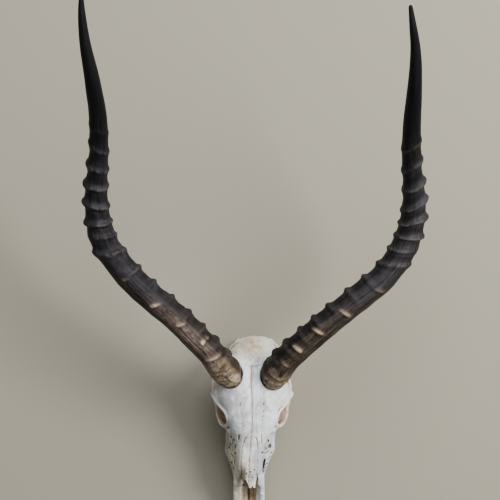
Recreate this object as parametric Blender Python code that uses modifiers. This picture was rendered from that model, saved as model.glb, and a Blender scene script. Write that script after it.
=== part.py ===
"""Impala ram's skull without its lower jaw, with both horns.

Metres, +Z up. The skull lies palate down on its cheek teeth and on the tips of
the two processes beside the neck joint. The nose points to -Y, the horns sweep
up and back to +Y, and the forehead faces +Z.

The skull's own measurements are in millimetres from a point on the surface it
rests on, midway between the two horn bases: x to the right, y to the back of
the head, z up. MIDDLE moves that point, so that the origin is the middle of the
whole thing's outline on the floor.
"""

import math

import bmesh
import bpy
from mathutils import Matrix, Vector

MM = 0.001
MIDDLE = (-5.1, -120.2)  # mm, from the outline's middle to between the horn bases
GAP = 0.3  # mm, between pieces that touch
TEETH_FLOOR = 0.0  # mm, the worn chewing faces lie on the surface

# Horns. Each point of the middle line: x, y, z and the mean width across.
LEFT_HORN = (
    (-28.5, 1.8, 98, 39.2), (-36.8, 13, 113.5, 39), (-50.6, 32.7, 130.6, 36.5),
    (-66.5, 49.9, 141.6, 36), (-92.9, 77.4, 152.5, 36), (-121.6, 102, 159.3, 36),
    (-143.8, 122.4, 163.7, 36), (-163.8, 144.8, 168, 35.5),
    (-181.3, 169.4, 173.3, 35.5), (-189.3, 195.2, 180.7, 34),
    (-192.1, 219.8, 189.9, 32), (-191.2, 241.6, 201.1, 30),
    (-188.3, 261.9, 214.1, 27.5), (-185.1, 284.1, 228.6, 25),
    (-183.4, 311.7, 247.4, 23), (-183.6, 332.1, 262, 21), (-185.4, 351.6, 277.7, 19.5),
    (-187.5, 370, 290, 17.5), (-191.6, 396.4, 305.1, 14), (-193.7, 415.7, 314.1, 11.5),
    (-194.9, 437.5, 322.3, 8.5), (-195, 460.6, 328, 2),
)
RIGHT_HORN = (
    (30, 0.2, 98, 40), (36.3, 12, 113.5, 38.5), (46.5, 26, 126, 36.5),
    (67.2, 46.2, 140.5, 35.5), (95.4, 71.6, 151.8, 35.5), (124.5, 95.8, 158.9, 35.5),
    (147.8, 114.8, 163.3, 35.5), (167.6, 132.6, 167, 35), (184.1, 155.2, 171.6, 35),
    (194.8, 177.1, 177.1, 35), (200.6, 198.8, 184.6, 34), (202.1, 219.7, 193.3, 32),
    (200.4, 240.2, 204.9, 29), (197.1, 260.4, 217.9, 26.5), (194.5, 280.8, 231.3, 25),
    (192.9, 301.5, 245.4, 23), (192.2, 321.8, 259.7, 21), (192.2, 341.6, 275, 19),
    (192, 361.2, 289.5, 16.5), (191.6, 380.8, 300.8, 14.2),
    (189.9, 400.4, 311, 11.5), (186.8, 419.7, 319.9, 8.5), (183.7, 443.5, 328, 2),
)
# Ridges: where each crest crosses the inner and the outer side, mm from the base.
LEFT_RIDGES = (
    (14, 12), (36, 38), (60, 64), (86, 90), (112, 114), (139, 144), (170, 174),
    (199, 200), (227, 246), (257, 264), (277, 280), (299, 307), (329, 331),
    (352, 358), (376, 390), (402, 416),
)
RIGHT_RIDGES = (
    (16, 14), (37, 34), (57, 60), (82, 87), (107, 112), (131, 138), (161, 166),
    (188, 193), (217, 239), (242, 256), (265, 272), (284, 296), (302, 320),
    (333, 343), (361, 375), (390, 402),
)
SMOOTH_FROM = 430.0  # mm from the base: past here the horn has no ridges
HORN_SIDES = 14
BASE_LIP = 7.0  # mm that the rim reaches further down over the forehead
DEPTH = 1.08  # a horn is this much deeper, front to back, than it is wide

# The muzzle leans a little to the left: y along the skull, and its middle's x.
LEAN = ((-220, -3.1), (-150, -3.1), (-120, -2.8), (-100, -1.4), (-80, -0.3),
        (-66, 1.3), (-50, 1.3), (-30, 1.2), (-5, 0.0), (14, 0.8), (34, 4.6), (60, 5.2))

# Cheek teeth, back to front: name, middle x and y, length, width, turn in degrees
TEETH = (
    ("molar_3", 25.6, -70.5, 17.0, 12.6, -1.0),
    ("molar_2", 26.2, -86.8, 15.0, 13.0, 2.0),
    ("molar_1", 25.3, -101.3, 13.4, 12.6, 7.0),
    ("premolar_3", 23.0, -113.4, 9.8, 11.2, 13.0),
    ("premolar_2", 20.0, -123.2, 8.9, 9.6, 18.0),
    ("premolar_1", 16.8, -132.1, 7.9, 7.8, 20.0),
)
TOOTH_SIDES = 16
ROOT_TOP = 21.0  # mm, how high a tooth's root reaches in its socket

SKULL_FACES = 0.0135  # share of the joined surface's triangles that is kept


def clear_scene():
    for obj in list(bpy.data.objects):
        bpy.data.objects.remove(obj, do_unlink=True)


def collection(name):
    made = bpy.data.collections.new(name)
    bpy.context.scene.collection.children.link(made)
    return made


def material(name, colour, roughness):
    made = bpy.data.materials.new(name)
    made.use_nodes = True
    shader = made.node_tree.nodes["Principled BSDF"]
    shader.inputs["Base Color"].default_value = (*colour, 1.0)
    shader.inputs["Roughness"].default_value = roughness
    shader.inputs["Metallic"].default_value = 0.0
    return made


# ---------------------------------------------------------------- shapes, in mm


def spline(points, at):
    """A smooth curve through the points, read at a whole or part number."""
    last = len(points) - 1
    i = min(max(int(math.floor(at)), 0), last - 1)
    t = at - i
    p1, p2 = points[i], points[i + 1]
    p0 = points[i - 1] if i else [2 * a - b for a, b in zip(p1, p2)]
    p3 = points[i + 2] if i + 2 <= last else [2 * b - a for a, b in zip(p1, p2)]
    return [
        0.5 * (2 * b + (c - a) * t + (2 * a - 5 * b + 4 * c - d) * t * t
               + (3 * b - a - 3 * c + d) * t ** 3)
        for a, b, c, d in zip(p0, p1, p2, p3)
    ]


def smooth_ring(points, steps):
    """A closed outline through the points, with this many steps between two."""
    n = len(points)
    wrapped = list(points) + list(points[:3])
    return [
        spline(wrapped[k:k + 4], 1 + s / steps) for k in range(n) for s in range(steps)
    ]


def add_loft(bm, rings):
    """A closed skin over rings of equal length, with flat ends."""
    rows = [[bm.verts.new(p) for p in ring] for ring in rings]
    n = len(rows[0])
    for low, high in zip(rows, rows[1:]):
        for k in range(n):
            bm.faces.new((low[k], low[(k + 1) % n], high[(k + 1) % n], high[k]))
    bm.faces.new(rows[0][::-1])
    bm.faces.new(rows[-1])


def add_tube(bm, points, sides=12, flat=1.0, closed=False):
    """A round bar through (x, y, z, radius) points; flat scales its sideways radius."""
    n = len(points)
    if closed:
        path = [tuple(p) for p in smooth_ring(points, 4)]
    else:
        path = [tuple(spline(points, k / 4)) for k in range(4 * (n - 1) + 1)]
    count = len(path)
    rings = []
    for k in range(count):
        here = Vector(path[k][:3])
        after = Vector(path[(k + 1) % count][:3]) if closed or k + 1 < count else here
        before = Vector(path[k - 1][:3]) if closed or k else here
        along = (after - before).normalized()
        up = Vector((1, 0, 0)) - along * along.x
        if up.length < 0.3:
            up = Vector((0, 0, 1)) - along * along.z
        up.normalize()
        side = along.cross(up)
        r = path[k][3]
        rings.append([
            here + up * (r * flat * math.cos(2 * math.pi * j / sides))
            + side * (r * math.sin(2 * math.pi * j / sides))
            for j in range(sides)
        ])
    if not closed:
        add_loft(bm, rings)
        return
    rows = [[bm.verts.new(p) for p in ring] for ring in rings]
    for k in range(count):
        low, high = rows[k], rows[(k + 1) % count]
        for j in range(sides):
            bm.faces.new((low[j], low[(j + 1) % sides],
                          high[(j + 1) % sides], high[j]))


def add_egg(bm, centre, radii, turn=(0.0, 0.0, 0.0), power=2.0, sides=32, rings=20):
    """An ellipsoid, or with a higher power a boxier one, turned about x, y, z."""
    made = bmesh.ops.create_uvsphere(bm, u_segments=sides, v_segments=rings, radius=1)
    rotation = (Matrix.Rotation(math.radians(turn[2]), 3, "Z")
                @ Matrix.Rotation(math.radians(turn[1]), 3, "Y")
                @ Matrix.Rotation(math.radians(turn[0]), 3, "X"))
    for vert in made["verts"]:
        size = sum(abs(c) ** power for c in vert.co) ** (1 / power)
        co = vert.co / size
        co = Vector((co.x * radii[0], co.y * radii[1], co.z * radii[2]))
        vert.co = rotation @ co + Vector(centre)


def lean(y):
    """The skull's middle at y."""
    for (y0, x0), (y1, x1) in zip(LEAN, LEAN[1:]):
        if y < y1:
            t = min(max((y - y0) / (y1 - y0), 0), 1)
            return x0 + (x1 - x0) * t * t * (3 - 2 * t)
    return LEAN[-1][1]


def both_sides(bm):
    """The right half's masses on the left as well, and all of them leant."""
    made = bmesh.ops.duplicate(bm, geom=bm.verts[:] + bm.edges[:] + bm.faces[:])
    for item in made["geom"]:
        if isinstance(item, bmesh.types.BMVert):
            item.co.x = -item.co.x
    bmesh.ops.reverse_faces(
        bm, faces=[f for f in made["geom"] if isinstance(f, bmesh.types.BMFace)])
    return leant(bm)


def leant(bm):
    for vert in bm.verts:
        vert.co.x += lean(vert.co.y)
    return bm


def make_object(name, bm, where, look=None, cutter=False):
    """The bmesh, in mm, as an object whose origin is between the horn bases."""
    bmesh.ops.recalc_face_normals(bm, faces=bm.faces)
    bmesh.ops.scale(bm, vec=(MM, MM, MM), verts=bm.verts)
    mesh = bpy.data.meshes.new(name)
    bm.to_mesh(mesh)
    bm.free()
    obj = bpy.data.objects.new(name, mesh)
    where.objects.link(obj)
    obj.location = (MIDDLE[0] * MM, MIDDLE[1] * MM, 0)
    if look is not None:
        mesh.materials.append(look)
    if cutter:
        obj.hide_render = True
        obj.display_type = "WIRE"
    return obj


# ---------------------------------------------------------------- horns


class Horn:
    """One horn's middle line, widths and ridges."""

    def __init__(self, points, ridges, inner_sign, gap):
        self.points, self.ridges, self.inner_sign = points, ridges, inner_sign
        self.gap = gap  # where the ridge next to the bend doesn't reach the outside
        self.samples = [spline(points, k / 12) for k in range(12 * (len(points) - 1) + 1)]
        self.run = [0.0]
        for a, b in zip(self.samples, self.samples[1:]):
            self.run.append(self.run[-1] + (Vector(b[:3]) - Vector(a[:3])).length)
        self.length = self.run[-1]

    def at(self, u):
        """Middle line and width at u mm from the base; u below 0 goes straight on."""
        if u <= 0:
            a, b = self.samples[0], self.samples[1]
            t = u / (self.run[1] - self.run[0])
            return [p + (q - p) * t for p, q in zip(a[:3], b[:3])] + [a[3]]
        u = min(u, self.length)
        k = 1
        while self.run[k] < u:
            k += 1
        t = (u - self.run[k - 1]) / (self.run[k] - self.run[k - 1])
        return [p + (q - p) * t for p, q in zip(self.samples[k - 1], self.samples[k])]

    def frame(self, u):
        ahead, behind = self.at(u + 4), self.at(u - 4)
        along = (Vector(ahead[:3]) - Vector(behind[:3])).normalized()
        side = along.cross(Vector((0, 0, 1))).normalized()
        return along, side * self.inner_sign, side.cross(along)

    def height(self, u, angle):
        """How far a ridge's crest stands out at u, by direction round the horn."""
        inner = 0.5 + 0.5 * math.cos(angle)
        front = 0.5 + 0.5 * math.sin(angle)
        past_bend = min(max((u - 205) / 45, 0), 1)
        inside = 4.6 - 1.2 * past_bend
        outside = 0.5 + 4.3 * past_bend
        outside *= 1 - 0.9 * math.exp(-((u - self.gap) / 10) ** 2)
        level = outside + (inside - outside) * inner ** (2.4 - 1.4 * past_bend)
        level *= 0.45 + 0.55 * front if front < 0.5 else 0.725 + 0.15 * (front - 0.5)
        level *= 1.15
        start = min(max((u + 2) / 40, 0.25), 1)
        fade = min(max((SMOOTH_FROM - u) / 85, 0), 1)
        return level * start * fade

    def point(self, u, angle, crest, extra=0.0):
        """A point of the skin; crest runs from 0 in a valley to 1 on a ridge."""
        x, y, z, width = self.at(u)
        _, inner, front = self.frame(u)
        rise = self.height(u, angle)
        radius = width / 2 - 0.45 * rise + crest * rise + extra
        if u < 13:  # the swollen rim
            radius -= 2.6 * (1 - max(u, 0) / 13) ** 3
        return (Vector((x, y, z)) + inner * (radius * math.cos(angle))
                + front * (radius * DEPTH * math.sin(angle)))

    def rows(self, phases, tip_rows):
        """(inner u, outer u, crest) of each row of the skin, base to tip."""
        found = [(2.5, 2.5, 0.1), (7.0, 6.5, 0.4)]
        ends = list(self.ridges) + [(SMOOTH_FROM, SMOOTH_FROM + 8)]
        for (a_in, a_out), (b_in, b_out) in zip(ends, ends[1:]):
            for phase in phases:
                crest = (0.5 + 0.5 * math.cos(2 * math.pi * phase)) ** 2.1
                found.append((a_in + (b_in - a_in) * phase,
                              a_out + (b_out - a_out) * phase, crest))
        left = self.length - 1.5 - SMOOTH_FROM
        for k in range(tip_rows + 1):
            t = (k / tip_rows) ** 0.85
            found.append((SMOOTH_FROM + left * t,
                          SMOOTH_FROM + 8 + (left - 8) * t, 0.0))
        return found

    def base_ring(self, sides, extra=0.0, drop=0.0):
        """The flat rim that sits on the pedicle, tipped forward by BASE_LIP."""
        x, y, z, width = self.at(0)
        along, inner, front = self.frame(0)
        radius = width / 2 - 2.6 + extra
        ring = []
        for k in range(sides):
            angle = 2 * math.pi * (k + 0.5) / sides
            ring.append(Vector((x, y, z)) + inner * (radius * math.cos(angle))
                        + front * (radius * DEPTH * math.sin(angle))
                        - along * (BASE_LIP * math.sin(angle) + drop))
        return ring

    def ring(self, row, sides, extra=0.0):
        u_in, u_out, crest = row
        ring = []
        for k in range(sides):
            angle = 2 * math.pi * (k + 0.5) / sides
            u = u_out + (u_in - u_out) * (0.5 + 0.5 * math.cos(angle))
            lip = max(0.0, 1 - u_in / 26) * BASE_LIP * math.sin(angle)
            ring.append(self.point(u - lip, angle, crest, extra))
        return ring


def horn_mesh(horn):
    bm = bmesh.new()
    rows = horn.rows((0.0, 0.17, 0.5, 0.83), 9)
    add_loft(bm, [horn.base_ring(HORN_SIDES)]
             + [horn.ring(row, HORN_SIDES) for row in rows])
    bmesh.ops.triangulate(bm, faces=bm.faces, quad_method="FIXED")
    return bm


def seat_mesh(horn):
    """What the horn's base takes out of the skull: its own shape and the gap."""
    bm = bmesh.new()
    rows = horn.rows((0.0, 0.17, 0.5, 0.83), 2)[:12]
    rings = [horn.base_ring(HORN_SIDES, 1.3 * GAP, GAP)]
    rings += [horn.ring(row, HORN_SIDES, 1.3 * GAP) for row in rows]
    add_loft(bm, rings)
    bmesh.ops.triangulate(bm, faces=bm.faces, quad_method="FIXED")
    return bm


# ---------------------------------------------------------------- skull


def face_ring(y, top, w_top, shoulder, w_mid, z_mid, w_low, low):
    half = [(0, top), (0.62 * w_top, top - 0.8), (w_top, shoulder),
            (0.5 * (w_top + w_mid) + 1.2, 0.55 * shoulder + 0.45 * z_mid),
            (w_mid, z_mid), (0.4 * w_mid + 0.6 * w_low, 0.5 * (z_mid + low)),
            (w_low, low + 4), (w_low - 1.5, low), (0.5 * w_low, low)]
    whole = half + [(0, low)] + [(-x, z) for x, z in half[:0:-1]]
    return [(x, y, z) for x, z in smooth_ring(whole, 3)]


def roof_ring(y, top, half_width, edge, under):
    half = [(0, top), (0.45 * half_width, top - 0.6),
            (0.78 * half_width, top - 0.33 * (top - edge)), (half_width, edge),
            (0.95 * half_width, edge - 4.5), (0.6 * half_width, under)]
    whole = half + [(0, under)] + [(-x, z) for x, z in half[:0:-1]]
    return [(x, y, z) for x, z in smooth_ring(whole, 3)]


def flat_ring(z, half_width, back, power=2.4, sides=28):
    """A level outline of the braincase, from its widest to its back."""
    ring = []
    for k in range(sides):
        c, s = (math.cos(2 * math.pi * k / sides), math.sin(2 * math.pi * k / sides))
        size = (abs(c) ** power + abs(s) ** power) ** (1 / power)
        ring.append((half_width * c / size, 8 + (back - 8) * s / size, z))
    return ring


def box_ring(y, x0, x1, z0, z1, power=3.2, sides=16):
    """A rounded rectangle across the skull."""
    ring = []
    for k in range(sides):
        c, s = (math.cos(2 * math.pi * k / sides), math.sin(2 * math.pi * k / sides))
        size = (abs(c) ** power + abs(s) ** power) ** (1 / power)
        ring.append((0.5 * (x0 + x1) + 0.5 * (x1 - x0) * c / size, y,
                     0.5 * (z0 + z1) + 0.5 * (z1 - z0) * s / size))
    return ring


def band_ring(y, outer, inner, top, inner_low, low):
    """The front jaw bone across: upright outside, sloping down to the middle inside."""
    outline = [(outer - 1.4, top), (outer, top - 0.2 * (top - low)),
               (outer, low + 0.25 * (top - low)), (outer - 2.4, low), (inner_low + 1, low),
               (inner_low, low + 0.12 * (top - low)), (inner, top - 0.08 * (top - low)),
               (inner + 1.2, top)]
    return [(x, y, z) for x, z in smooth_ring(outline, 2)]


def nose_ring(y, w_top, top, w_low, low):
    """The nose's passage across, narrower towards its floor."""
    half = [(0, top), (w_top - 2.4, top), (w_top, top - 3),
            (0.5 * (w_top + w_low), 0.5 * (top + low)), (w_low, low + 1.6),
            (w_low - 2, low)]
    whole = half + [(0, low)] + [(-x, z) for x, z in half[:0:-1]]
    return [(x, y, z) for x, z in smooth_ring(whole, 2)]


def skull_body():
    """The skull's masses, which overlap; the side ones are the right side's."""
    bm = bmesh.new()
    # face: y, top, roof half width, its edge's height, widest half width and
    # its height, half width at the tooth sockets and their height
    add_loft(bm, [face_ring(*row) for row in (
        (-34, 102.5, 28, 95, 27, 74, 18, 34), (-48, 100.5, 29, 94, 29, 68, 27, 16),
        (-60, 97.5, 28, 90, 33, 62, 32.3, 9.5), (-72, 94, 24.5, 87, 31.5, 58, 33, 9),
        (-84, 90.5, 20.5, 83.5, 31.3, 50, 33.6, 9),
        (-96, 87.5, 18.2, 79.5, 32.6, 44, 33.4, 9),
        (-106, 85, 17.8, 76.5, 32.2, 40, 32, 9), (-116, 82, 17.4, 73.5, 28.6, 40, 28.8, 9),
        (-126, 79.5, 15.6, 71.5, 24.4, 42, 24.6, 9.5),
        (-136, 76.6, 12.4, 70, 21.4, 43, 21, 10.5),
        (-143, 74.6, 12, 68, 20.4, 43, 17.5, 17), (-151, 72, 11.4, 66, 20, 43, 16.5, 20),
    )])
    # forehead: y, top, half width, edge height, underside
    add_loft(bm, [roof_ring(*row) for row in (
        (26, 96, 16, 88, 70), (14, 101, 28, 90, 66), (2, 104, 39, 88, 64),
        (-10, 105, 47, 86.5, 66), (-20, 104.8, 50.8, 85, 70), (-27, 104.4, 52.2, 84.5, 74),
        (-33, 103.6, 48.6, 87, 76), (-41, 102.4, 40.6, 90, 77),
        (-50, 100.6, 34.6, 91.5, 74), (-58, 98.6, 33.2, 90.5, 64),
        (-68, 95.6, 30, 86, 54), (-80, 91.6, 24, 82, 48),
    )])
    # braincase, the back of the head with its crest, and the base
    add_egg(bm, (0, 10, 62), (37, 38.5, 38), power=2.3, sides=40, rings=26)
    add_loft(bm, [flat_ring(*row) for row in (
        (20, 15, 28), (30, 25, 35.5), (42, 32, 40), (54, 35.8, 43.5), (66, 37, 46.2),
        (75, 35.4, 48.3), (80, 32.6, 49), (84, 28.6, 47.6), (90, 21.4, 42.4), (95, 13, 33.6))])
    add_tube(bm, [(35.6, 14, 50, 2.6), (34.4, 24, 58, 2.6), (31, 34.5, 68, 2.4),
                  (22, 43, 76.5, 2.4), (10, 48, 80.5, 2.4), (-2, 49, 81.5, 2.4)])
    add_egg(bm, (0, 46, 72), (4.5, 5, 10))
    add_tube(bm, [(0, -36, 38, 10), (0, -14, 31, 9), (0, 8, 27, 10), (0, 30, 25, 12)])
    # the forehead's side wall, and the pedicle under the horn
    add_egg(bm, (20, -2, 80), (22, 30, 23), turn=(0, 20, -14))
    add_egg(bm, (17, -22, 84), (24, 22, 16))
    add_tube(bm, [(20, 0, 76, 15), (25, -3.4, 88, 16.8), (29.2, 0.9, 98, 17.2),
                  (30.2, 2.7, 101, 17)], sides=24)
    # eye socket's rim, with the bar behind the eye
    add_tube(bm, [(50.8, -26.5, 82, 3.4), (42.8, -38.8, 89.5, 2.4), (34.8, -48.8, 92, 2.3),
                  (31.5, -59.4, 88.5, 2.6), (32.4, -66.5, 78, 3), (36, -68.6, 66, 3.2),
                  (41.2, -65.2, 54, 3.4), (44.8, -56, 47, 3.5), (46.2, -44.5, 44, 3.5),
                  (49, -33.5, 50, 3.5), (50.2, -27.5, 61, 3.3), (51.2, -25, 72, 3.3)],
             closed=True)
    # bone in front of and below the socket
    add_egg(bm, (25, -71, 65), (10, 9, 21), turn=(0, -6, 8))
    add_egg(bm, (36, -60, 45), (6.5, 13, 9), turn=(0, -12, -18))
    # cheekbone: below the socket to the ear
    add_tube(bm, [(30.5, -72.5, 42, 6.6), (38.6, -61.5, 41, 6.8), (45, -47, 40.5, 6.8),
                  (49.4, -32, 44, 6.2), (50.4, -18, 46.5, 5.6), (48.5, -4, 48.5, 5.6),
                  (43, 8, 50, 6.2), (34, 16, 50, 8.5), (28, 19, 50, 10)], flat=0.56)
    add_tube(bm, [(42, 9, 49, 4), (36, 16, 46, 5.5), (28, 22, 48, 7)])
    # ear: opening tube, ear capsule
    add_tube(bm, [(26, 15, 38, 5), (33, 16, 42, 4), (39, 16.5, 45, 3.4)])
    add_egg(bm, (18.5, 20, 25), (7, 11.5, 9.5), turn=(-12, 0, 14))
    # neck joint, and the process beside it that reaches the surface
    add_egg(bm, (10.8, 35.5, 23), (7.2, 10.5, 10.5), turn=(25, 0, -24))
    add_tube(bm, [(27, 26, 46, 8), (27, 31, 32, 6), (25.4, 36, 18, 4.2),
                  (23, 39, 7, 3.5), (21.6, 40.2, -3, 3.2)], flat=0.8)
    # wings beside the inner nostrils
    add_loft(bm, [box_ring(*row) for row in (
        (-62, 10.5, 15, 14, 40), (-52, 9.5, 13, 13.5, 42), (-40, 8.6, 11.4, 16, 42),
        (-28, 8.2, 10.8, 20, 40), (-16, 7.4, 11, 26, 36))])
    # front bone of the upper jaw: rising blade, then the flat toothless tip
    add_loft(bm, [band_ring(*row) for row in (
        (-108, 18.4, 12, 74, 11.8, 60), (-118, 19, 12, 70, 11.6, 50),
        (-128, 19.8, 12, 64.5, 11, 32), (-138, 20.6, 13, 58.5, 8.6, 21),
        (-150, 20.8, 14, 53, 6.4, 20), (-162, 21, 15, 45.5, 5, 19),
        (-175, 20.9, 14.4, 37.5, 4.6, 18), (-188, 20.3, 13.2, 30.5, 4.5, 17.5),
        (-199, 19.3, 11.6, 26, 4.5, 17.5), (-208, 17.6, 9, 23.4, 4.5, 18),
        (-215, 15, 6.4, 22.2, 4.4, 18.6), (-219.5, 11.6, 6.2, 21.4, 5.4, 19.4))])
    add_tube(bm, [(4.5, -134, 23, 4.2), (4.2, -160, 22, 3.9), (4.3, -180, 21.4, 3.6),
                  (5, -198, 21, 3.2), (8, -208, 20.6, 3)])
    # bump of the cheek above the molars
    add_egg(bm, (26.5, -101, 30), (7, 13, 11), turn=(0, 0, 8))
    return bm


def middle_cuts():
    """Hollows on the middle line."""
    bm = bmesh.new()
    # nose, open to the front
    add_loft(bm, [nose_ring(*row) for row in (
        (-92, 6, 70, 4, 44), (-98, 10.4, 77.5, 6.6, 36), (-112, 13, 77, 8, 31),
        (-126, 12.4, 75, 7.6, 28), (-138, 12.2, 72.2, 7, 26.5), (-150, 17, 68.6, 5, 26),
        (-164, 27, 66, 4.6, 25))])
    cuts = [bm]
    bm = bmesh.new()  # roof of the mouth, arched between the tooth rows
    add_loft(bm, [box_ring(y, -w, w, -12, top, power=2.6, sides=28)
                  for y, w, top in (
        (-44, 16, 15), (-58, 17, 16.5), (-74, 17.6, 17.5), (-100, 17.2, 18),
        (-116, 15.6, 17.5), (-128, 13, 17), (-140, 12, 18), (-158, 10, 17))])
    cuts.append(bm)
    bm = bmesh.new()  # inner nostrils
    add_loft(bm, [box_ring(y, -w, w, low, high, power=2.6, sides=24)
                  for y, w, low, high in (
        (-72, 5, 27, 34), (-62, 8.4, 12, 38), (-48, 8.2, 6, 38), (-34, 7, 8, 33),
        (-20, 5.6, 10, 24))])
    cuts.append(bm)
    bm = bmesh.new()  # opening for the spinal cord
    add_egg(bm, (0, 44, 33), (8.8, 20, 8.6), turn=(-18, 0, 0))
    cuts.append(bm)
    bm = bmesh.new()  # the right slot is open wider and deeper
    add_egg(bm, (20.2, -121.5, 64), (1.6, 10.5, 11), turn=(0, 10, -3), sides=20, rings=14)
    cuts.append(bm)
    return cuts


def prism(bm, outline, near, far, axis):
    """An outline pushed through from near to far along x or z."""
    def place(at):
        if axis == "x":
            return [(at, a, b) for a, b in outline]
        return [(a, b, at) for a, b in outline]
    add_loft(bm, [place(near), place(far)])


def side_cuts():
    """Hollows of the right side; the left ones mirror them."""
    cuts = []
    for centre, radii, turn in (
        ((32.5, -47, 67), (24, 20, 21), (0, -8, 12)),  # eye socket
        ((25.8, -91, 77), (2.4, 7, 8), (0, 20, 10)),  # gap beside the nasal bone
        ((19.8, -120, 70), (1.2, 9, 6), (0, 8, -2)),  # slot beside it
        ((24.6, -119, 34), (5, 3.4, 3.2), (0, 0, 30)),  # nerve hole of the cheek
        ((38.5, 16.5, 45), (6, 2, 2), (0, -24, 0)),  # ear opening
    ):
        bm = bmesh.new()
        add_egg(bm, centre, radii, turn=turn, sides=28, rings=18)
        cuts.append(bm)
    bm = bmesh.new()  # notch between the nasal bone and the front jaw bone
    prism(bm, [(-131, 60.5), (-140, 65.2), (-162, 66.5), (-162, 44), (-150, 53),
               (-138, 58.5)], 10.5, 32, "x")
    cuts.append(bm)
    return cuts


def nasal_ends():
    """Notches that leave the nasal bones' broken, forked ends."""
    cuts = []
    for outline in (
        [(-14, -139.5), (-10, -138), (-7.2, -140.8), (-4.6, -139.4), (-2.4, -142.6),
         (0.2, -149), (0.6, -156), (-14, -156)],
        [(4.6, -141.4), (6.6, -156), (2.6, -156)],
        [(12.6, -138), (10.4, -143.6), (9, -147), (9.4, -156), (15, -156)],
    ):
        bm = bmesh.new()
        prism(bm, outline, 58, 90, "z")
        cuts.append(bm)
    return cuts


def tooth_outline(length, width, grow=0.0):
    """A cheek tooth from below: ribs on the cheek side, lobes on the tongue side."""
    a, b = length / 2 + grow, width / 2 + grow
    outline = []
    for k in range(TOOTH_SIDES):
        t = 2 * math.pi * k / TOOTH_SIDES
        c, s = math.cos(t), math.sin(t)
        size = (abs(c) ** 4 + abs(s) ** 4) ** 0.25
        x, y = b * c / size, a * s / size
        lobes = 2 if length > 12 else 1
        wave = math.cos(lobes * 2 * math.pi * y / (2 * a))
        x -= (0.045 if x > 0 else 0.07) * width * (1 + wave * (-1 if x < 0 else 1)) \
            * (1 if x > 0 else -1) * abs(c)
        outline.append((x, y))
    return outline


def tooth_mesh(length, width, grow=0.0, top=ROOT_TOP, floor=TEETH_FLOOR):
    bm = bmesh.new()
    rings = []
    for z, scale in ((floor, 0.95), (3.0, 1.0), (top, 0.86)):
        if grow and z == floor:
            scale = 1.0
        rings.append([(x * scale, y * scale, z)
                      for x, y in tooth_outline(length, width, grow)])
    add_loft(bm, rings)
    return bm


def place_tooth(bm, side, x, y, turn):
    spin = Matrix.Rotation(math.radians(turn), 3, "Z")
    for vert in bm.verts:
        co = spin @ vert.co + Vector((x, y, 0))
        vert.co = Vector((co.x * side + lean(y), co.y, co.z))
    return bm


# ---------------------------------------------------------------- build


def add_modifier(obj, kind, name, **values):
    made = obj.modifiers.new(name, kind)
    for key, value in values.items():
        setattr(made, key, value)
    return made


def build():
    clear_scene()
    parts = collection("impala_skull")
    cutters = collection("cutters")
    bone = material("bone", (0.74, 0.70, 0.62), 0.62)
    horn_look = material("horn", (0.050, 0.040, 0.036), 0.48)
    enamel = material("tooth", (0.66, 0.60, 0.48), 0.35)

    horns = {"left_horn": Horn(LEFT_HORN, LEFT_RIDGES, 1, 264),
             "right_horn": Horn(RIGHT_HORN, RIGHT_RIDGES, -1, 256)}
    for name, horn in horns.items():
        obj = make_object(name, horn_mesh(horn), parts, horn_look)
        for polygon in obj.data.polygons:
            polygon.use_smooth = True

    skull = make_object("skull", both_sides(skull_body()), parts, bone)
    add_modifier(skull, "REMESH", "join", mode="VOXEL", voxel_size=1.15 * MM)

    def cut(name, bm, **values):
        tool = make_object(name, bm, cutters, cutter=True)
        add_modifier(skull, "BOOLEAN", name, operation="DIFFERENCE", solver="EXACT",
                     object=tool, **values)

    for k, bm in enumerate(middle_cuts()):
        cut(f"hollow_{k}", leant(bm))
    for k, bm in enumerate(side_cuts()):
        cut(f"side_hollow_{k}", both_sides(bm))
    for k, bm in enumerate(nasal_ends()):
        cut(f"nasal_end_{k}", leant(bm))
    add_modifier(skull, "REMESH", "even", mode="VOXEL", voxel_size=1.0 * MM)
    add_modifier(skull, "SMOOTH", "soften", factor=0.5, iterations=4)
    add_modifier(skull, "DECIMATE", "facets", ratio=SKULL_FACES)
    for name, horn in horns.items():
        cut(f"{name}_seat", seat_mesh(horn))
    for label, x, y, length, width, turn in TEETH:
        for side, word in ((-1, "left"), (1, "right")):
            name = f"{word}_{label}"
            tooth = make_object(
                name, place_tooth(tooth_mesh(length - GAP, width), side, x, y, turn),
                parts, enamel)
            tooth.data.shade_smooth()
            tooth.data.set_sharp_from_angle(angle=math.radians(35))
            cut(f"{name}_socket",
                place_tooth(tooth_mesh(length - GAP, width, GAP * 1.3, ROOT_TOP + GAP,
                                       -4), side, x, y, turn))
    bm = bmesh.new()  # nothing of the bone goes below the surface
    bmesh.ops.create_cube(bm, size=1)
    bmesh.ops.scale(bm, vec=(160, 320, 20), verts=bm.verts)
    bmesh.ops.translate(bm, vec=(0, -80, -10), verts=bm.verts)
    cut("surface", bm)
    add_modifier(skull, "TRIANGULATE", "triangles")
    for polygon in skull.data.polygons:
        polygon.use_smooth = True


build()
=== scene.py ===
"""An impala ram's skull with both horns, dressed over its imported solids.

Lengths are in millimetres until they become a mesh. The skull has its own zero, MIDDLE in
the row's frame. Its face looks up, its nose points to -Y, and left is -X.
"""

import math
from types import SimpleNamespace

import bmesh
import bpy
import numpy as np
from mathutils import Matrix, Vector, noise


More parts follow.
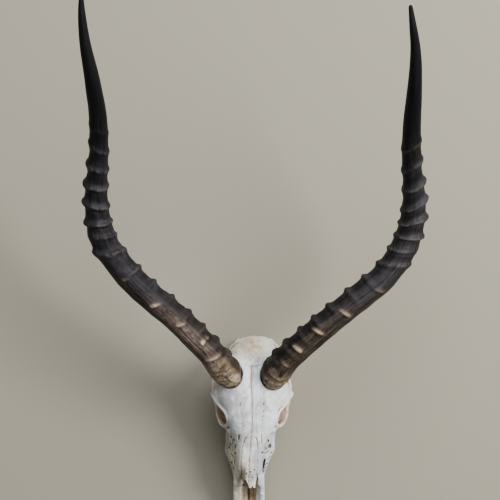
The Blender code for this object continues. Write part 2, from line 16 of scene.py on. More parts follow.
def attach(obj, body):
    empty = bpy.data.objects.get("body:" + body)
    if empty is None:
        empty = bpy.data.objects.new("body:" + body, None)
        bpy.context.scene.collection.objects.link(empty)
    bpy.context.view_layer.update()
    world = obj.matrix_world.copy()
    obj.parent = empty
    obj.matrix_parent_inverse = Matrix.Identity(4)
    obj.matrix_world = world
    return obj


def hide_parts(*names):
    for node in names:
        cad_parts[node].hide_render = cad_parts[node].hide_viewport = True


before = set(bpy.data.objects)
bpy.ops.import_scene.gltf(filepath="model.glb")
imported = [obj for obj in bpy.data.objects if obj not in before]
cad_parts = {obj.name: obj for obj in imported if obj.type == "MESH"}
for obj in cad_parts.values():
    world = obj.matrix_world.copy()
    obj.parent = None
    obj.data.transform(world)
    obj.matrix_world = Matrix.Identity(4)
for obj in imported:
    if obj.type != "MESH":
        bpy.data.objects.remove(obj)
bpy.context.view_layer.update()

MM = 0.001
SCENE = bpy.context.scene.collection
MIDDLE = (-5.1, -120.2)
GAP = 0.3  # between neighbouring pieces

# Each horn's middle line, base to tip: x, y, z and width
LEFT_HORN = (
    (-28.5, 1.8, 98, 39.2), (-36.8, 13, 113.5, 39), (-50.6, 32.7, 130.6, 36.5),
    (-66.5, 49.9, 141.6, 36), (-92.9, 77.4, 152.5, 36), (-121.6, 102, 159.3, 36),
    (-143.8, 122.4, 163.7, 36), (-163.8, 144.8, 168, 35.5),
    (-181.3, 169.4, 173.3, 35.5), (-189.3, 195.2, 180.7, 34),
    (-192.1, 219.8, 189.9, 32), (-191.2, 241.6, 201.1, 30),
    (-188.3, 261.9, 214.1, 27.5), (-185.1, 284.1, 228.6, 25),
    (-183.4, 311.7, 247.4, 23), (-183.6, 332.1, 262, 21), (-185.4, 351.6, 277.7, 19.5),
    (-187.5, 370, 290, 17.5), (-191.6, 396.4, 305.1, 14), (-193.7, 415.7, 314.1, 11.5),
    (-194.9, 437.5, 322.3, 8.5), (-195, 460.6, 328, 4.0),
)
RIGHT_HORN = (
    (30, 0.2, 98, 40), (36.3, 12, 113.5, 38.5), (46.5, 26, 126, 36.5),
    (67.2, 46.2, 140.5, 35.5), (95.4, 71.6, 151.8, 35.5), (124.5, 95.8, 158.9, 35.5),
    (147.8, 114.8, 163.3, 35.5), (167.6, 132.6, 167, 35), (184.1, 155.2, 171.6, 35),
    (194.8, 177.1, 177.1, 35), (200.6, 198.8, 184.6, 34), (202.1, 219.7, 193.3, 32),
    (200.4, 240.2, 204.9, 29), (197.1, 260.4, 217.9, 26.5), (194.5, 280.8, 231.3, 25),
    (192.9, 301.5, 245.4, 23), (192.2, 321.8, 259.7, 21), (192.2, 341.6, 275, 19),
    (192, 361.2, 289.5, 16.5), (191.6, 380.8, 300.8, 14.2),
    (189.9, 400.4, 311, 11.5), (186.5, 419.7, 319.9, 8.9), (182.3, 444.8, 328, 4.6),
)
# Each ridge's distance from the base, on the horn's inner and outer side
LEFT_RIDGES = (
    (14, 12), (36, 38), (60, 64), (86, 90), (112, 114), (139, 144), (170, 174),
    (199, 200), (227, 246), (257, 264), (277, 280), (299, 307), (329, 331),
    (352, 358), (376, 390), (402, 416),
)
RIGHT_RIDGES = (
    (16, 14), (37, 34), (57, 60), (82, 87), (107, 112), (131, 138), (161, 166),
    (188, 193), (217, 239), (242, 256), (265, 272), (284, 296), (302, 320),
    (333, 343), (361, 375), (390, 402),
)
SMOOTH_FROM = 430.0  # the ridges end here
BASE_LIP = 7.0  # a horn's base reaches this much lower in front, and ends higher behind
DEPTH = 1.08  # of a horn, to its width

# Cheek teeth: name, x, y, length, width, turn in degrees
TEETH = (
    ("molar_3", 25.6, -70.5, 17.0, 12.6, -1.0),
    ("molar_2", 26.2, -86.8, 15.0, 13.0, 2.0),
    ("molar_1", 25.3, -101.3, 13.4, 12.6, 7.0),
    ("premolar_3", 23.0, -113.4, 9.8, 11.2, 13.0),
    ("premolar_2", 20.0, -123.2, 8.9, 9.6, 18.0),
    ("premolar_1", 16.8, -132.1, 7.9, 7.8, 20.0),
)
ROOT_TOP = 21.0  # height of the teeth's upper ends

# The muzzle leans a little to the left: y along the skull, and its middle's x.
LEAN = ((-220, -3.1), (-150, -3.1), (-120, -2.8), (-100, -1.4), (-80, -0.3),
        (-66, 1.3), (-50, 1.3), (-30, 1.2), (-5, 0.0), (14, 0.8), (34, 4.6), (60, 5.2))


# ---- the photograph's view

EYE = (-1.4, 164.0)  # the skull's place under the camera
DISTANCE = 2.0  # m, camera above the surface
LENS, SENSOR = 105.1, 36.0
WINDOW = dict(place=(1.75, 0.6, 1.95), size=1.2, watts=103.0, colour=(1.0, 0.985, 0.965))
SKY = dict(place=(0.3, 1.4, 1.75), size=1.7, watts=60.0, colour=(0.95, 0.97, 1.0))
LAMP_AIM = Vector((0.0, 0.0, 0.1))
ROOM_COLOUR, ROOM_STRENGTH = (0.80, 0.82, 0.85, 1), 0.36


def add_camera():
    camera = bpy.data.cameras.new("camera")
    camera.sensor_width, camera.lens = SENSOR, LENS
    camera.clip_start, camera.clip_end = 0.05, 20.0
    eye = bpy.data.objects.new("camera", camera)
    eye.location = ((EYE[0] + MIDDLE[0]) * MM, (EYE[1] + MIDDLE[1]) * MM, DISTANCE)
    SCENE.objects.link(eye)
    bpy.context.scene.camera = eye


def add_lamp(name, place, size, watts, colour):
    data = bpy.data.lights.new(name, "AREA")
    data.shape = "DISK"
    data.size, data.energy, data.color = size, watts, colour
    lamp = bpy.data.objects.new(name, data)
    lamp.location = place
    lamp.rotation_euler = (LAMP_AIM - Vector(place)).to_track_quat("-Z", "Y").to_euler()
    SCENE.objects.link(lamp)


def add_room_light():
    world = bpy.data.worlds.new("studio")
    world.use_nodes = True
    background = world.node_tree.nodes["Background"]
    background.inputs["Color"].default_value = ROOM_COLOUR
    background.inputs["Strength"].default_value = ROOM_STRENGTH
    bpy.context.scene.world = world


# ---- node helpers


class Nodes:
    """A short way to write a material's node tree."""

    def __init__(self, name):
        self.material = bpy.data.materials.new(name)
        self.material.use_nodes = True
        self.tree = self.material.node_tree
        self.shader = self.tree.nodes["Principled BSDF"]

    def new(self, kind, **values):
        node = self.tree.nodes.new(kind)
        for key, value in values.items():
            setattr(node, key, value)
        return node

    def wire(self, value, socket):
        if isinstance(value, bpy.types.NodeSocket):
            self.tree.links.new(value, socket)
        elif socket.type == "RGBA":
            socket.default_value = (*value, 1.0)
        else:
            socket.default_value = value

    def attribute(self, name, kind="Fac"):
        return self.new("ShaderNodeAttribute", attribute_name=name).outputs[kind]

    def scaled(self, vector, factors):
        node = self.new("ShaderNodeVectorMath", operation="MULTIPLY")
        self.wire(vector, node.inputs[0])
        node.inputs[1].default_value = factors
        return node.outputs[0]

    def millimetres(self):
        """The point's place on its own object, in mm."""
        place = self.new("ShaderNodeTexCoord").outputs["Object"]
        return self.scaled(place, (1 / MM, 1 / MM, 1 / MM))

    def math(self, operation, *values):
        node = self.new("ShaderNodeMath", operation=operation)
        for value, socket in zip(values, node.inputs):
            self.wire(value, socket)
        return node.outputs[0]

    def times(self, first, *others):
        for other in others:
            first = self.math("MULTIPLY", first, other)
        return first

    def weighed(self, a, share_a, b, share_b):
        return self.math("ADD", self.times(a, share_a), self.times(b, share_b))

    def shifted(self, value, noise_value, reach):
        """The value moved up or down by a noise, half of reach at the most."""
        return self.math("ADD", value,
                         self.times(self.math("SUBTRACT", noise_value, 0.5), reach))

    def noise(self, vector, per_unit, detail, roughness, warp=0.0):
        """Noise with this many cells to a unit of the vector, along each axis."""
        node = self.new("ShaderNodeTexNoise")
        self.wire(self.scaled(vector, per_unit), node.inputs["Vector"])
        node.inputs["Scale"].default_value = 1.0
        node.inputs["Detail"].default_value = detail
        node.inputs["Roughness"].default_value = roughness
        node.inputs["Distortion"].default_value = warp
        return node.outputs["Fac"]

    def cells(self, vector, per_unit, feature="F1"):
        node = self.new("ShaderNodeTexVoronoi", feature=feature)
        self.wire(self.scaled(vector, per_unit), node.inputs["Vector"])
        node.inputs["Scale"].default_value = 1.0
        return node.outputs["Distance"]

    def span(self, value, low, high, to_low=0.0, to_high=1.0):
        """The value from low to high, eased, as to_low to to_high."""
        node = self.new("ShaderNodeMapRange", interpolation_type="SMOOTHSTEP")
        for item, socket in zip((value, low, high, to_low, to_high), node.inputs):
            self.wire(item, socket)
        return node.outputs[0]

    def mix(self, amount, a, b):
        node = self.new("ShaderNodeMix", data_type="RGBA")
        self.wire(amount, node.inputs[0])
        self.wire(a, node.inputs[6])
        self.wire(b, node.inputs[7])
        return node.outputs[2]

    def bump(self, height, distance, strength, before=None):
        node = self.new("ShaderNodeBump")
        node.inputs["Strength"].default_value = strength
        node.inputs["Distance"].default_value = distance
        self.wire(height, node.inputs["Height"])
        if before is not None:
            self.wire(before, node.inputs["Normal"])
        return node.outputs[0]

    def finish(self, colour, roughness, normal):
        self.wire(colour, self.shader.inputs["Base Color"])
        self.wire(roughness, self.shader.inputs["Roughness"])
        self.wire(normal, self.shader.inputs["Normal"])
        return self.material


def srgb(r, g, b):
    """A colour of 0 to 255 as the shader's linear one."""
    return tuple(((c / 255 + 0.055) / 1.055) ** 2.4 if c > 10 else c / 3294.6
                 for c in (r, g, b))


# ---- keratin

LEFT_KERATIN = SimpleNamespace(
    root=(srgb(96, 79, 60), srgb(170, 152, 128)), root_share=0.10,  # of the horn's length
    belt=(srgb(58, 49, 44), srgb(122, 108, 98)),
    charcoals=(srgb(19, 18, 20), srgb(43, 40, 44)), inner_shade=0.12)
RIGHT_KERATIN = SimpleNamespace(
    root=(srgb(78, 64, 48), srgb(160, 142, 114)), root_share=0.066,
    belt=(srgb(32, 28, 22), srgb(74, 65, 54)),
    charcoals=(srgb(28, 27, 29), srgb(56, 53, 56)), inner_shade=0.5)


def horn_signals(n):
    """What each layer of a horn's colour reads: places on the horn, and noises."""
    fibre = n.attribute("fibre", "Vector")
    s = SimpleNamespace(
        fibre=fibre,
        along=n.attribute("along"),  # 0 at the base, 1 at the tip
        inner=n.attribute("inner"),  # 1 on the side towards the other horn, -1 outside
        streak=n.noise(fibre, (0.55, 0.55, 0.020), 4, 0.6, 0.3),
        thread=n.noise(fibre, (1.9, 1.9, 0.045), 3, 0.6),
        blotch=n.noise(fibre, (0.10, 0.10, 0.07), 4, 0.6, 0.5),
        small=n.noise(fibre, (0.32, 0.32, 0.22), 4, 0.6, 0.5))
    s.low = n.shifted(s.along, s.blotch, 0.16)
    s.across = n.shifted(s.inner, s.small, 0.5)
    return s


def horn_shaft(n, s, look):
    """Charcoal, brown at the bottom and black at the tip, with painted shade on the inner side
    and the crests' pale edges, partly wear and partly painted highlight.
    """
    colour = n.mix(n.span(s.streak, 0.35, 0.65), *look.charcoals)
    colour = n.mix(n.span(s.blotch, 0.46, 0.70, 0.0, 0.55), colour, srgb(60, 57, 62))
    colour = n.mix(n.span(s.small, 0.44, 0.30, 0.0, 0.5), colour, srgb(11, 10, 11))
    brown = n.mix(n.span(s.streak, 0.35, 0.65), srgb(22, 18, 16), srgb(50, 42, 36))
    colour = n.mix(n.span(s.along, 0.34, 0.14, 0.0, 0.7), colour, brown)
    # painted shade: the inner side darkened, most on the right horn, whose inner side faces away
    # from the light
    colour = n.mix(n.span(s.inner, -0.1, 0.7, 0.0, look.inner_shade), colour, srgb(9, 8, 9))
    black = n.mix(n.span(s.streak, 0.3, 0.7), srgb(2, 2, 3), srgb(13, 12, 13))
    towards_tip = n.span(n.shifted(s.along, s.blotch, 0.2), 0.52, 0.74)
    colour = n.mix(towards_tip, colour, black)
    # pale crest edges on the front: partly wear, partly painted highlight where the crests catch
    # the light
    rubbed_and_lit = n.times(n.span(n.attribute("crest"), 0.55, 1.0), n.span(s.blotch, 0.42, 0.62),
                     n.span(s.along, 0.30, 0.40, 0.15, 0.42), n.span(s.along, 0.80, 0.60),
                     n.span(n.attribute("facing"), 0.3, 0.8))
    return n.mix(rubbed_and_lit, colour, srgb(84, 79, 68))


def horn_belt(n, s, look, colour):
    """The brown front of the lower half, its dark outer edge and pale threads beside it."""
    tone = n.weighed(s.streak, 0.55, s.small, 0.45)
    belt = n.mix(n.span(tone, 0.40, 0.60), *look.belt)
    belt = n.mix(n.span(s.blotch, 0.50, 0.36, 0.0, 0.5), belt, srgb(38, 33, 32))
    there = n.times(n.span(s.across, 0.55, -0.10), n.span(s.low, 0.33, 0.15), 0.92)
    colour = n.mix(there, colour, belt)
    edge = n.times(n.span(s.inner, -0.50, -0.85), n.span(s.along, 0.60, 0.40),
                   n.span(s.streak, 0.62, 0.48), 0.85)
    colour = n.mix(edge, colour, srgb(20, 17, 15))
    threads = n.times(n.span(s.thread, 0.56, 0.66), n.span(s.low, 0.44, 0.24),
                      n.span(s.across, -0.15, -0.55), 0.5)
    return n.mix(threads, colour, srgb(140, 126, 104))


def horn_worn_spots(n, s, colour):
    """Pale spots where the ridges are worn down."""
    worn = n.attribute("worn")
    rub = n.shifted(worn, s.thread, n.times(worn, 0.7))
    pale = n.mix(n.span(rub, 0.35, 1.15), srgb(116, 95, 78), srgb(208, 186, 160))
    pale = n.mix(n.span(s.thread, 0.56, 0.38, 0.0, 0.45), pale, srgb(104, 86, 70))
    there = n.times(n.span(rub, 0.08, 0.8), n.span(s.small, 0.24, 0.48, 0.45, 0.9))
    return n.mix(there, colour, pale)


def horn_root(n, s, look, colour):
    """The tan root, with dark and pale hoops and a golden patch towards the inside."""
    tan = n.mix(n.span(s.blotch, 0.40, 0.60), *look.root)
    tan = n.mix(n.span(s.small, 0.44, 0.28, 0.0, 0.6), tan, srgb(40, 30, 22))
    hoop = n.noise(s.fibre, (0.03, 0.03, 0.17), 4, 0.6, 0.9)
    tan = n.mix(n.span(hoop, 0.49, 0.37, 0.0, 0.75), tan, srgb(48, 36, 26))
    tan = n.mix(n.span(hoop, 0.54, 0.66, 0.0, 0.42), tan, srgb(184, 165, 139))
    gold = n.times(n.span(s.across, 0.25, 0.6), n.span(s.thread, 0.46, 0.60),
                   n.span(s.along, 0.020, 0.040), n.span(s.across, 0.85, 0.6), 0.75)
    tan = n.mix(gold, tan, srgb(198, 166, 110))
    there = n.times(n.span(s.low, look.root_share, 0.4 * look.root_share),
                    n.span(s.small, 0.28, 0.50, 0.4, 1.0),
                    n.span(s.across, 0.74, 0.32, 0.12, 1.0))
    return n.mix(there, colour, tan)


def horn_cracks_and_rim(n, s, colour):
    """Dark cracks, painted shade in the valleys between the ridges, and the root's pale rim with
    its dark edge.
    """
    crack = n.span(n.noise(s.fibre, (0.62, 0.62, 0.035), 3, 0.55, 0.8), 0.36, 0.32)
    crack = n.times(crack, n.span(s.along, 0.04, 0.12, 0.3, 0.7))
    colour = n.mix(crack, colour, srgb(24, 18, 14))
    # painted shade: darkening in the valleys between the ridges
    colour = n.mix(n.span(n.attribute("valley_shade"), 0.35, 1.0, 0.0, 0.6), colour, srgb(9, 8, 8))
    rim = n.shifted(n.attribute("rim"), s.small, 3.0)
    pale = n.times(n.span(rim, 9.0, 5.5, 0.0, 0.6), n.span(rim, 2.0, 4.0),
                   n.span(s.inner, 0.75, 0.4, 0.15, 1.0))
    colour = n.mix(pale, colour, srgb(160, 132, 98))
    return n.mix(n.span(rim, 2.6, 0.8, 0.0, 0.85), colour, srgb(50, 35, 24))


def horn_material(name, look):
    """Keratin: tan and brown at the base, charcoal further up, black at the tip."""
    n = Nodes(name)
    s = horn_signals(n)
    colour = horn_shaft(n, s, look)
    colour = horn_belt(n, s, look, colour)
    colour = horn_worn_spots(n, s, colour)
    colour = horn_root(n, s, look, colour)
    colour = horn_cracks_and_rim(n, s, colour)
    normal = n.bump(n.weighed(s.streak, 0.6, s.thread, 0.4), 0.0012, 0.6)
    normal = n.bump(s.small, 0.0010, 0.5, normal)
    n.shader.inputs["Specular IOR Level"].default_value = 0.12
    return n.finish(colour, n.span(s.streak, 0.3, 0.7, 0.46, 0.64), normal)


# ---- bone and teeth

# The attributes that hold distances from the sutures, and each one's half width
SEAMS = (("seam_middle", 0.65), ("seam_crown", 0.6), ("seam_nasal", 0.6),
         ("seam_side", 0.5), ("seam_brow", 0.45))
SEAM_WAVER = 5.5


def bone_ground(n, s):
    """White on the forehead and cream elsewhere, mottled with grey, tan and brown; the grey is
    deepened as painted shade on the left and cleared on the right by the painted light blots.
    """
    cloud = n.noise(s.mm, (0.022, 0.022, 0.022), 4, 0.55, 0.3)
    white = n.mix(n.span(cloud, 0.35, 0.65), srgb(250, 249, 247), srgb(236, 242, 252))
    cream = n.mix(n.span(s.patch, 0.35, 0.65), srgb(232, 222, 200), srgb(242, 236, 222))
    colour = n.mix(n.span(s.cream, 0.15, 0.9), white, cream)
    colour = n.mix(n.span(s.patch, 0.50, 0.74, 0.0, 0.5), colour, srgb(208, 198, 178))
    # grey mottling, with painted shade on the left and less grey on the right from the painted
    # light blots
    smoke = n.math("ADD", n.noise(s.mm, (0.042, 0.03, 0.04), 5, 0.65, 0.6), s.smoke)
    colour = n.mix(n.span(smoke, 0.44, 0.60, 0.0, 0.7), colour, srgb(154, 156, 162))
    creamy = n.noise(s.mm, (0.06, 0.045, 0.06), 4, 0.65, 0.9)
    colour = n.mix(n.span(creamy, 0.54, 0.66, 0.0, 0.55), colour, srgb(226, 212, 186))
    colour = n.mix(n.span(s.grain, 0.50, 0.76, 0.0, 0.36), colour, srgb(184, 172, 152))
    warm = n.noise(s.mm, (0.11, 0.05, 0.09), 5, 0.7, 1.2)
    warm = n.times(n.span(warm, 0.52, 0.66), n.span(s.cream, 0.1, 0.6, 0.18, 0.5))
    return n.mix(warm, colour, srgb(176, 158, 126))


def bone_stains(n, s, colour):
    """The crown's stain, painted highlight on its right edge, painted shade with grey blots, and
    painted shade in the hollows and dents.
    """
    tone = n.weighed(s.patch, 0.6, s.grain, 0.4)
    stain = n.times(n.attribute("stain"), n.span(tone, 0.34, 0.58))
    colour = n.mix(stain, colour, srgb(168, 144, 110))
    # painted highlight: near-white on the crown's right edge
    colour = n.mix(n.span(s.smoke, -0.05, -0.2, 0.0, 0.8), colour, srgb(252, 247, 238))
    # painted shade on the left of the nose, and grey blots, partly painted shade on the left
    shade_and_grey = n.mix(n.span(s.grain, 0.35, 0.65), srgb(80, 75, 60), srgb(106, 99, 82))
    colour = n.mix(n.attribute("shade_and_grey"), colour, shade_and_grey)
    # painted shade: brown in the nose's inside, the eye sockets and on the underside
    hollow = n.mix(n.span(s.patch, 0.3, 0.7), srgb(150, 126, 98), srgb(186, 164, 136))
    colour = n.mix(n.span(n.attribute("hollow"), 0.12, 0.9, 0.0, 0.92), colour, hollow)
    # painted shade: brown in the dents, creases and small holes
    crease_shade = n.shifted(n.attribute("dent"), s.patch, 0.5)
    brown = n.mix(n.span(crease_shade, 0.25, 0.9), srgb(136, 122, 102), srgb(62, 48, 35))
    return n.mix(n.span(crease_shade, 0.14, 0.8, 0.0, 0.94), colour, brown)


def bone_seams(n, s, colour):
    """Thin wavering sutures, with a blush beside the middle one. Also where they are."""
    waver = n.noise(s.mm, (0.42, 0.42, 0.42), 3, 0.7)
    faint = n.span(s.cream, 0.12, 0.6, 1.0, 0.4)  # on the nose, for the middle one
    seam = None
    for name, half_width in SEAMS:
        gap = n.math("ABSOLUTE", n.shifted(n.attribute(name), waver, SEAM_WAVER))
        line = n.times(n.span(gap, half_width, 0.1), n.span(s.patch, 0.34, 0.56, 0.25, 1.0))
        if name == "seam_middle":
            line = n.times(line, faint)
            blush = n.times(n.span(gap, 4.6, 0.4), faint, n.span(s.patch, 0.3, 0.6, 0.3, 0.85))
        seam = line if seam is None else n.math("MAXIMUM", seam, line)
    colour = n.mix(blush, colour, srgb(190, 170, 158))
    return n.mix(n.times(seam, 0.52), colour, srgb(140, 116, 98)), seam


def bone_pores(n, s, colour):
    """Pores painted dark as shade in small holes, grey specks where the bone is spongy, and
    cracks. Also where pores are.
    """
    spongy = n.attribute("spongy")
    speck = n.span(n.noise(s.mm, (0.2, 0.13, 0.2), 5, 0.7, 1.6), 0.46, 0.57)
    colour = n.mix(n.times(spongy, speck, 0.72), colour, srgb(146, 134, 114))
    pore = n.times(n.span(n.cells(s.mm, (0.52, 0.34, 0.52)), 0.26, 0.10), spongy)
    # painted shade: dark brown in the pores
    colour = n.mix(n.times(pore, 0.85), colour, srgb(112, 88, 62))
    crack = n.span(n.cells(s.mm, (0.060, 0.022, 0.05), "DISTANCE_TO_EDGE"), 0.010, 0.0)
    crack = n.times(crack, n.span(s.patch, 0.42, 0.6), 0.42)
    return n.mix(crack, colour, srgb(150, 132, 108)), pore


def bone_material():
    """Dry bone: chalky white and cream, brown in its hollows, with sutures."""
    n = Nodes("bone")
    mm = n.millimetres()
    s = SimpleNamespace(
        mm=mm, cream=n.attribute("cream"), smoke=n.attribute("smoke"),
        patch=n.noise(mm, (0.075, 0.075, 0.075), 4, 0.6, 0.4),
        grain=n.noise(mm, (0.55, 0.16, 0.4), 4, 0.65, 0.2))
    colour = bone_stains(n, s, bone_ground(n, s))
    colour, seam = bone_seams(n, s, colour)
    colour, pore = bone_pores(n, s, colour)
    fine = n.noise(mm, (1.7, 1.1, 1.7), 3, 0.6)
    normal = n.bump(n.math("SUBTRACT", 1.0, seam), 0.0006, 0.7)
    normal = n.bump(n.math("SUBTRACT", 1.0, pore), 0.0012, 0.8, normal)
    normal = n.bump(n.weighed(s.grain, 0.7, fine, 0.3), 0.0007, 0.45, normal)
    n.shader.inputs["Specular IOR Level"].default_value = 0.35
    n.shader.inputs["Subsurface Weight"].default_value = 0.06
    n.shader.inputs["Subsurface Radius"].default_value = (0.004, 0.003, 0.002)
    return n.finish(colour, n.span(s.patch, 0.3, 0.7, 0.52, 0.70), normal)


def enamel_material():
    """Stained enamel, with brown dentine on the worn faces."""
    n = Nodes("enamel")
    mm = n.millimetres()
    stain = n.noise(mm, (0.5, 0.5, 0.12), 4, 0.6, 0.4)
    fine = n.noise(mm, (1.6, 1.6, 0.4), 3, 0.6)
    colour = n.mix(n.span(stain, 0.35, 0.68), srgb(226, 214, 184), srgb(176, 148, 104))
    colour = n.mix(n.attribute("dentine"), colour, srgb(92, 66, 40))
    n.shader.inputs["Coat Weight"].default_value = 0.15
    return n.finish(colour, n.span(stain, 0.3, 0.7, 0.22, 0.45), n.bump(fine, 0.0005, 0.4))


def floor_material():
    n = Nodes("floor")
    n.wire(srgb(143, 138, 123), n.shader.inputs["Base Color"])
    n.shader.inputs["Roughness"].default_value = 0.85
    n.shader.inputs["Specular IOR Level"].default_value = 0.2
    return n.material


# ---- shapes


def spline(points, at):
    """A smooth curve through the points, at a place counted in points."""
    last = len(points) - 1
    i = min(max(int(math.floor(at)), 0), last - 1)
    t = at - i
    p1, p2 = points[i], points[i + 1]
    p0 = points[i - 1] if i else [2 * a - b for a, b in zip(p1, p2)]
    p3 = points[i + 2] if i + 2 <= last else [2 * b - a for a, b in zip(p1, p2)]
    return [
        0.5 * (2 * b + (c - a) * t + (2 * a - 5 * b + 4 * c - d) * t * t
               + (3 * b - a - 3 * c + d) * t ** 3)
        for a, b, c, d in zip(p0, p1, p2, p3)
    ]


def smooth_ring(points, steps):
    wrapped = list(points) + list(points[:3])
    return [spline(wrapped[k:k + 4], 1 + s / steps)
            for k in range(len(points)) for s in range(steps)]


def finer(rows, steps):
    """Rows of a loft with smooth ones between them."""
    return [spline(rows, k / steps) for k in range(steps * (len(rows) - 1) + 1)]


def superellipse(power, sides):
    """The points of a rounded square of half width 1."""
    ring = []
    for k in range(sides):
        c, s = math.cos(2 * math.pi * k / sides), math.sin(2 * math.pi * k / sides)
        size = (abs(c) ** power + abs(s) ** power) ** (1 / power)
        ring.append((c / size, s / size))
    return ring


def add_loft(bm, rings, caps=True):
    """A skin over the rings. Without caps it closes on itself."""
    rows = [[bm.verts.new(p) for p in ring] for ring in rings]
    sides = len(rows[0])
    for low, high in zip(rows, rows[1:] if caps else rows[1:] + rows[:1]):
        for k in range(sides):
            after = (k + 1) % sides
            bm.faces.new((low[k], low[after], high[after], high[k]))
    if caps:
        bm.faces.new(rows[0][::-1])
        bm.faces.new(rows[-1])


def add_tube(bm, points, sides=16, flat=1.0, closed=False):
    """A tube through points of x, y, z and radius, flattened along X by flat."""
    if closed:
        path = [tuple(p) for p in smooth_ring(points, 6)]
    else:
        path = [tuple(p) for p in finer(points, 6)]
    count = len(path)
    rings = []
    for k in range(count):
        here = Vector(path[k][:3])
        after = Vector(path[(k + 1) % count][:3]) if closed or k + 1 < count else here
        before = Vector(path[k - 1][:3]) if closed or k else here
        along = (after - before).normalized()
        up = Vector((1, 0, 0)) - along * along.x
        if up.length < 0.3:
            up = Vector((0, 0, 1)) - along * along.z
        up.normalize()
        side = along.cross(up)
        r = path[k][3]
        rings.append([
            here + up * (r * flat * math.cos(2 * math.pi * j / sides))
            + side * (r * math.sin(2 * math.pi * j / sides))
            for j in range(sides)
        ])
    add_loft(bm, rings, caps=not closed)


def add_egg(bm, centre, radii, turn=(0.0, 0.0, 0.0), power=2.0, sides=40, rings=26):
    """An egg, boxier with a higher power, turned about X, then Y, then Z."""
    made = bmesh.ops.create_uvsphere(bm, u_segments=sides, v_segments=rings, radius=1)
    rotation = (Matrix.Rotation(math.radians(turn[2]), 3, "Z")
                @ Matrix.Rotation(math.radians(turn[1]), 3, "Y")
                @ Matrix.Rotation(math.radians(turn[0]), 3, "X"))
    for vert in made["verts"]:
        size = sum(abs(c) ** power for c in vert.co) ** (1 / power)
        co = vert.co / size
        co = Vector((co.x * radii[0], co.y * radii[1], co.z * radii[2]))
        vert.co = rotation @ co + Vector(centre)


def add_prism(bm, outline, near, far, axis):
    """An outline drawn out along X or Z, from near to far."""
    if axis == "x":
        add_loft(bm, [[(at, a, b) for a, b in outline] for at in (near, far)])
    else:
        add_loft(bm, [[(a, b, at) for a, b in outline] for at in (near, far)])


def lean(y):
    """The skull's middle at y."""
    for (y0, x0), (y1, x1) in zip(LEAN, LEAN[1:]):
        if y < y1:
            t = min(max((y - y0) / (y1 - y0), 0), 1)
            return x0 + (x1 - x0) * t * t * (3 - 2 * t)
    return LEAN[-1][1]


def leant(bm):
    for vert in bm.verts:
        vert.co.x += lean(vert.co.y)
    return bm


def both_sides(bm):
    """The right half's masses on the left as well, and all of them leant."""
    made = bmesh.ops.duplicate(bm, geom=bm.verts[:] + bm.edges[:] + bm.faces[:])
    for item in made["geom"]:
        if isinstance(item, bmesh.types.BMVert):
            item.co.x = -item.co.x
    bmesh.ops.reverse_faces(
        bm, faces=[f for f in made["geom"] if isinstance(f, bmesh.types.BMFace)])
    return leant(bm)


def object_from(name, mesh, look=None):
    """The object of a mesh in metres, with the skull's zero in its place."""
    obj = bpy.data.objects.new(name, mesh)
    SCENE.objects.link(obj)
    obj.location = (MIDDLE[0] * MM, MIDDLE[1] * MM, 0)
    if look is not None:
        mesh.materials.append(look)
    return obj


def object_of(name, bm):
    bmesh.ops.recalc_face_normals(bm, faces=bm.faces)
    bmesh.ops.scale(bm, vec=(MM, MM, MM), verts=bm.verts)
    mesh = bpy.data.meshes.new(name)
    bm.to_mesh(mesh)
    bm.free()
    return object_from(name, mesh)


def add_modifier(obj, kind, name, **values):
    made = obj.modifiers.new(name, kind)
    for key, value in values.items():
        setattr(made, key, value)


def bake(obj):
    """Applies the object's modifiers."""
    depsgraph = bpy.context.evaluated_depsgraph_get()
    mesh = bpy.data.meshes.new_from_object(obj.evaluated_get(depsgraph))
    old = obj.data
    obj.modifiers.clear()
    obj.data = mesh
    bpy.data.meshes.remove(old)


def vectors_of(mesh, what):
    """Every vertex's co or normal, one to a row."""
    flat = np.empty(len(mesh.vertices) * 3, np.float32)
    mesh.vertices.foreach_get(what, flat)
    return flat.reshape(-1, 3).astype(float)


def set_attribute(mesh, name, values, kind="FLOAT"):
    made = mesh.attributes.new(name, kind, "POINT")
    made.data.foreach_set("vector" if kind == "FLOAT_VECTOR" else "value",
                          np.ascontiguousarray(values, np.float32).ravel())


def bell(value, width, power=2):
    """1 where the value is 0, falling to 1/e at this width."""
    return np.exp(-np.abs(value / width) ** power)


def ramp(value, zero, one):
    """0 to 1 as the value goes from zero to one, which may also be the lower of the two."""
    return np.clip((value - zero) / (one - zero), 0, 1)


# ---- horns

SKIN_SIDES = 120
RIDGE_ROWS = 20  # to each ridge
TIP_ROWS = 90  # from the last ridge to the tip
FADE_FROM, FADE_TO = 205, 250  # between these the ridges' strong side changes
TIP_ROUND = 2.4  # the length that rounds off

# Pale worn spots on the ridges' fronts: distance from the base, place across
# (1 inside, -1 outside), half width across, slant, strength
LEFT_SPOTS = ((199, -0.32, 0.24, -8, 0.45), (150, -0.18, 0.34, -9, 0.85),
              (111, -0.05, 0.36, -9, 0.75), (76, 0.20, 0.24, 0, 0.9), (75, 0.66, 0.14, 0, 0.6),
              (52, 0.05, 0.66, -4.5, 0.75), (33, -0.1, 0.6, -8, 0.5), (15, 0.1, 0.8, 0, 0.3))
RIGHT_SPOTS = ((192, -0.42, 0.38, -10, 0.5), (142, -0.15, 0.48, -5, 0.75),
               (102, 0.08, 0.48, -6, 0.85), (69, 0.12, 0.46, -3, 0.95),
               (43, -0.06, 0.4, -2, 0.55), (22, 0.12, 0.32, 0, 0.45))


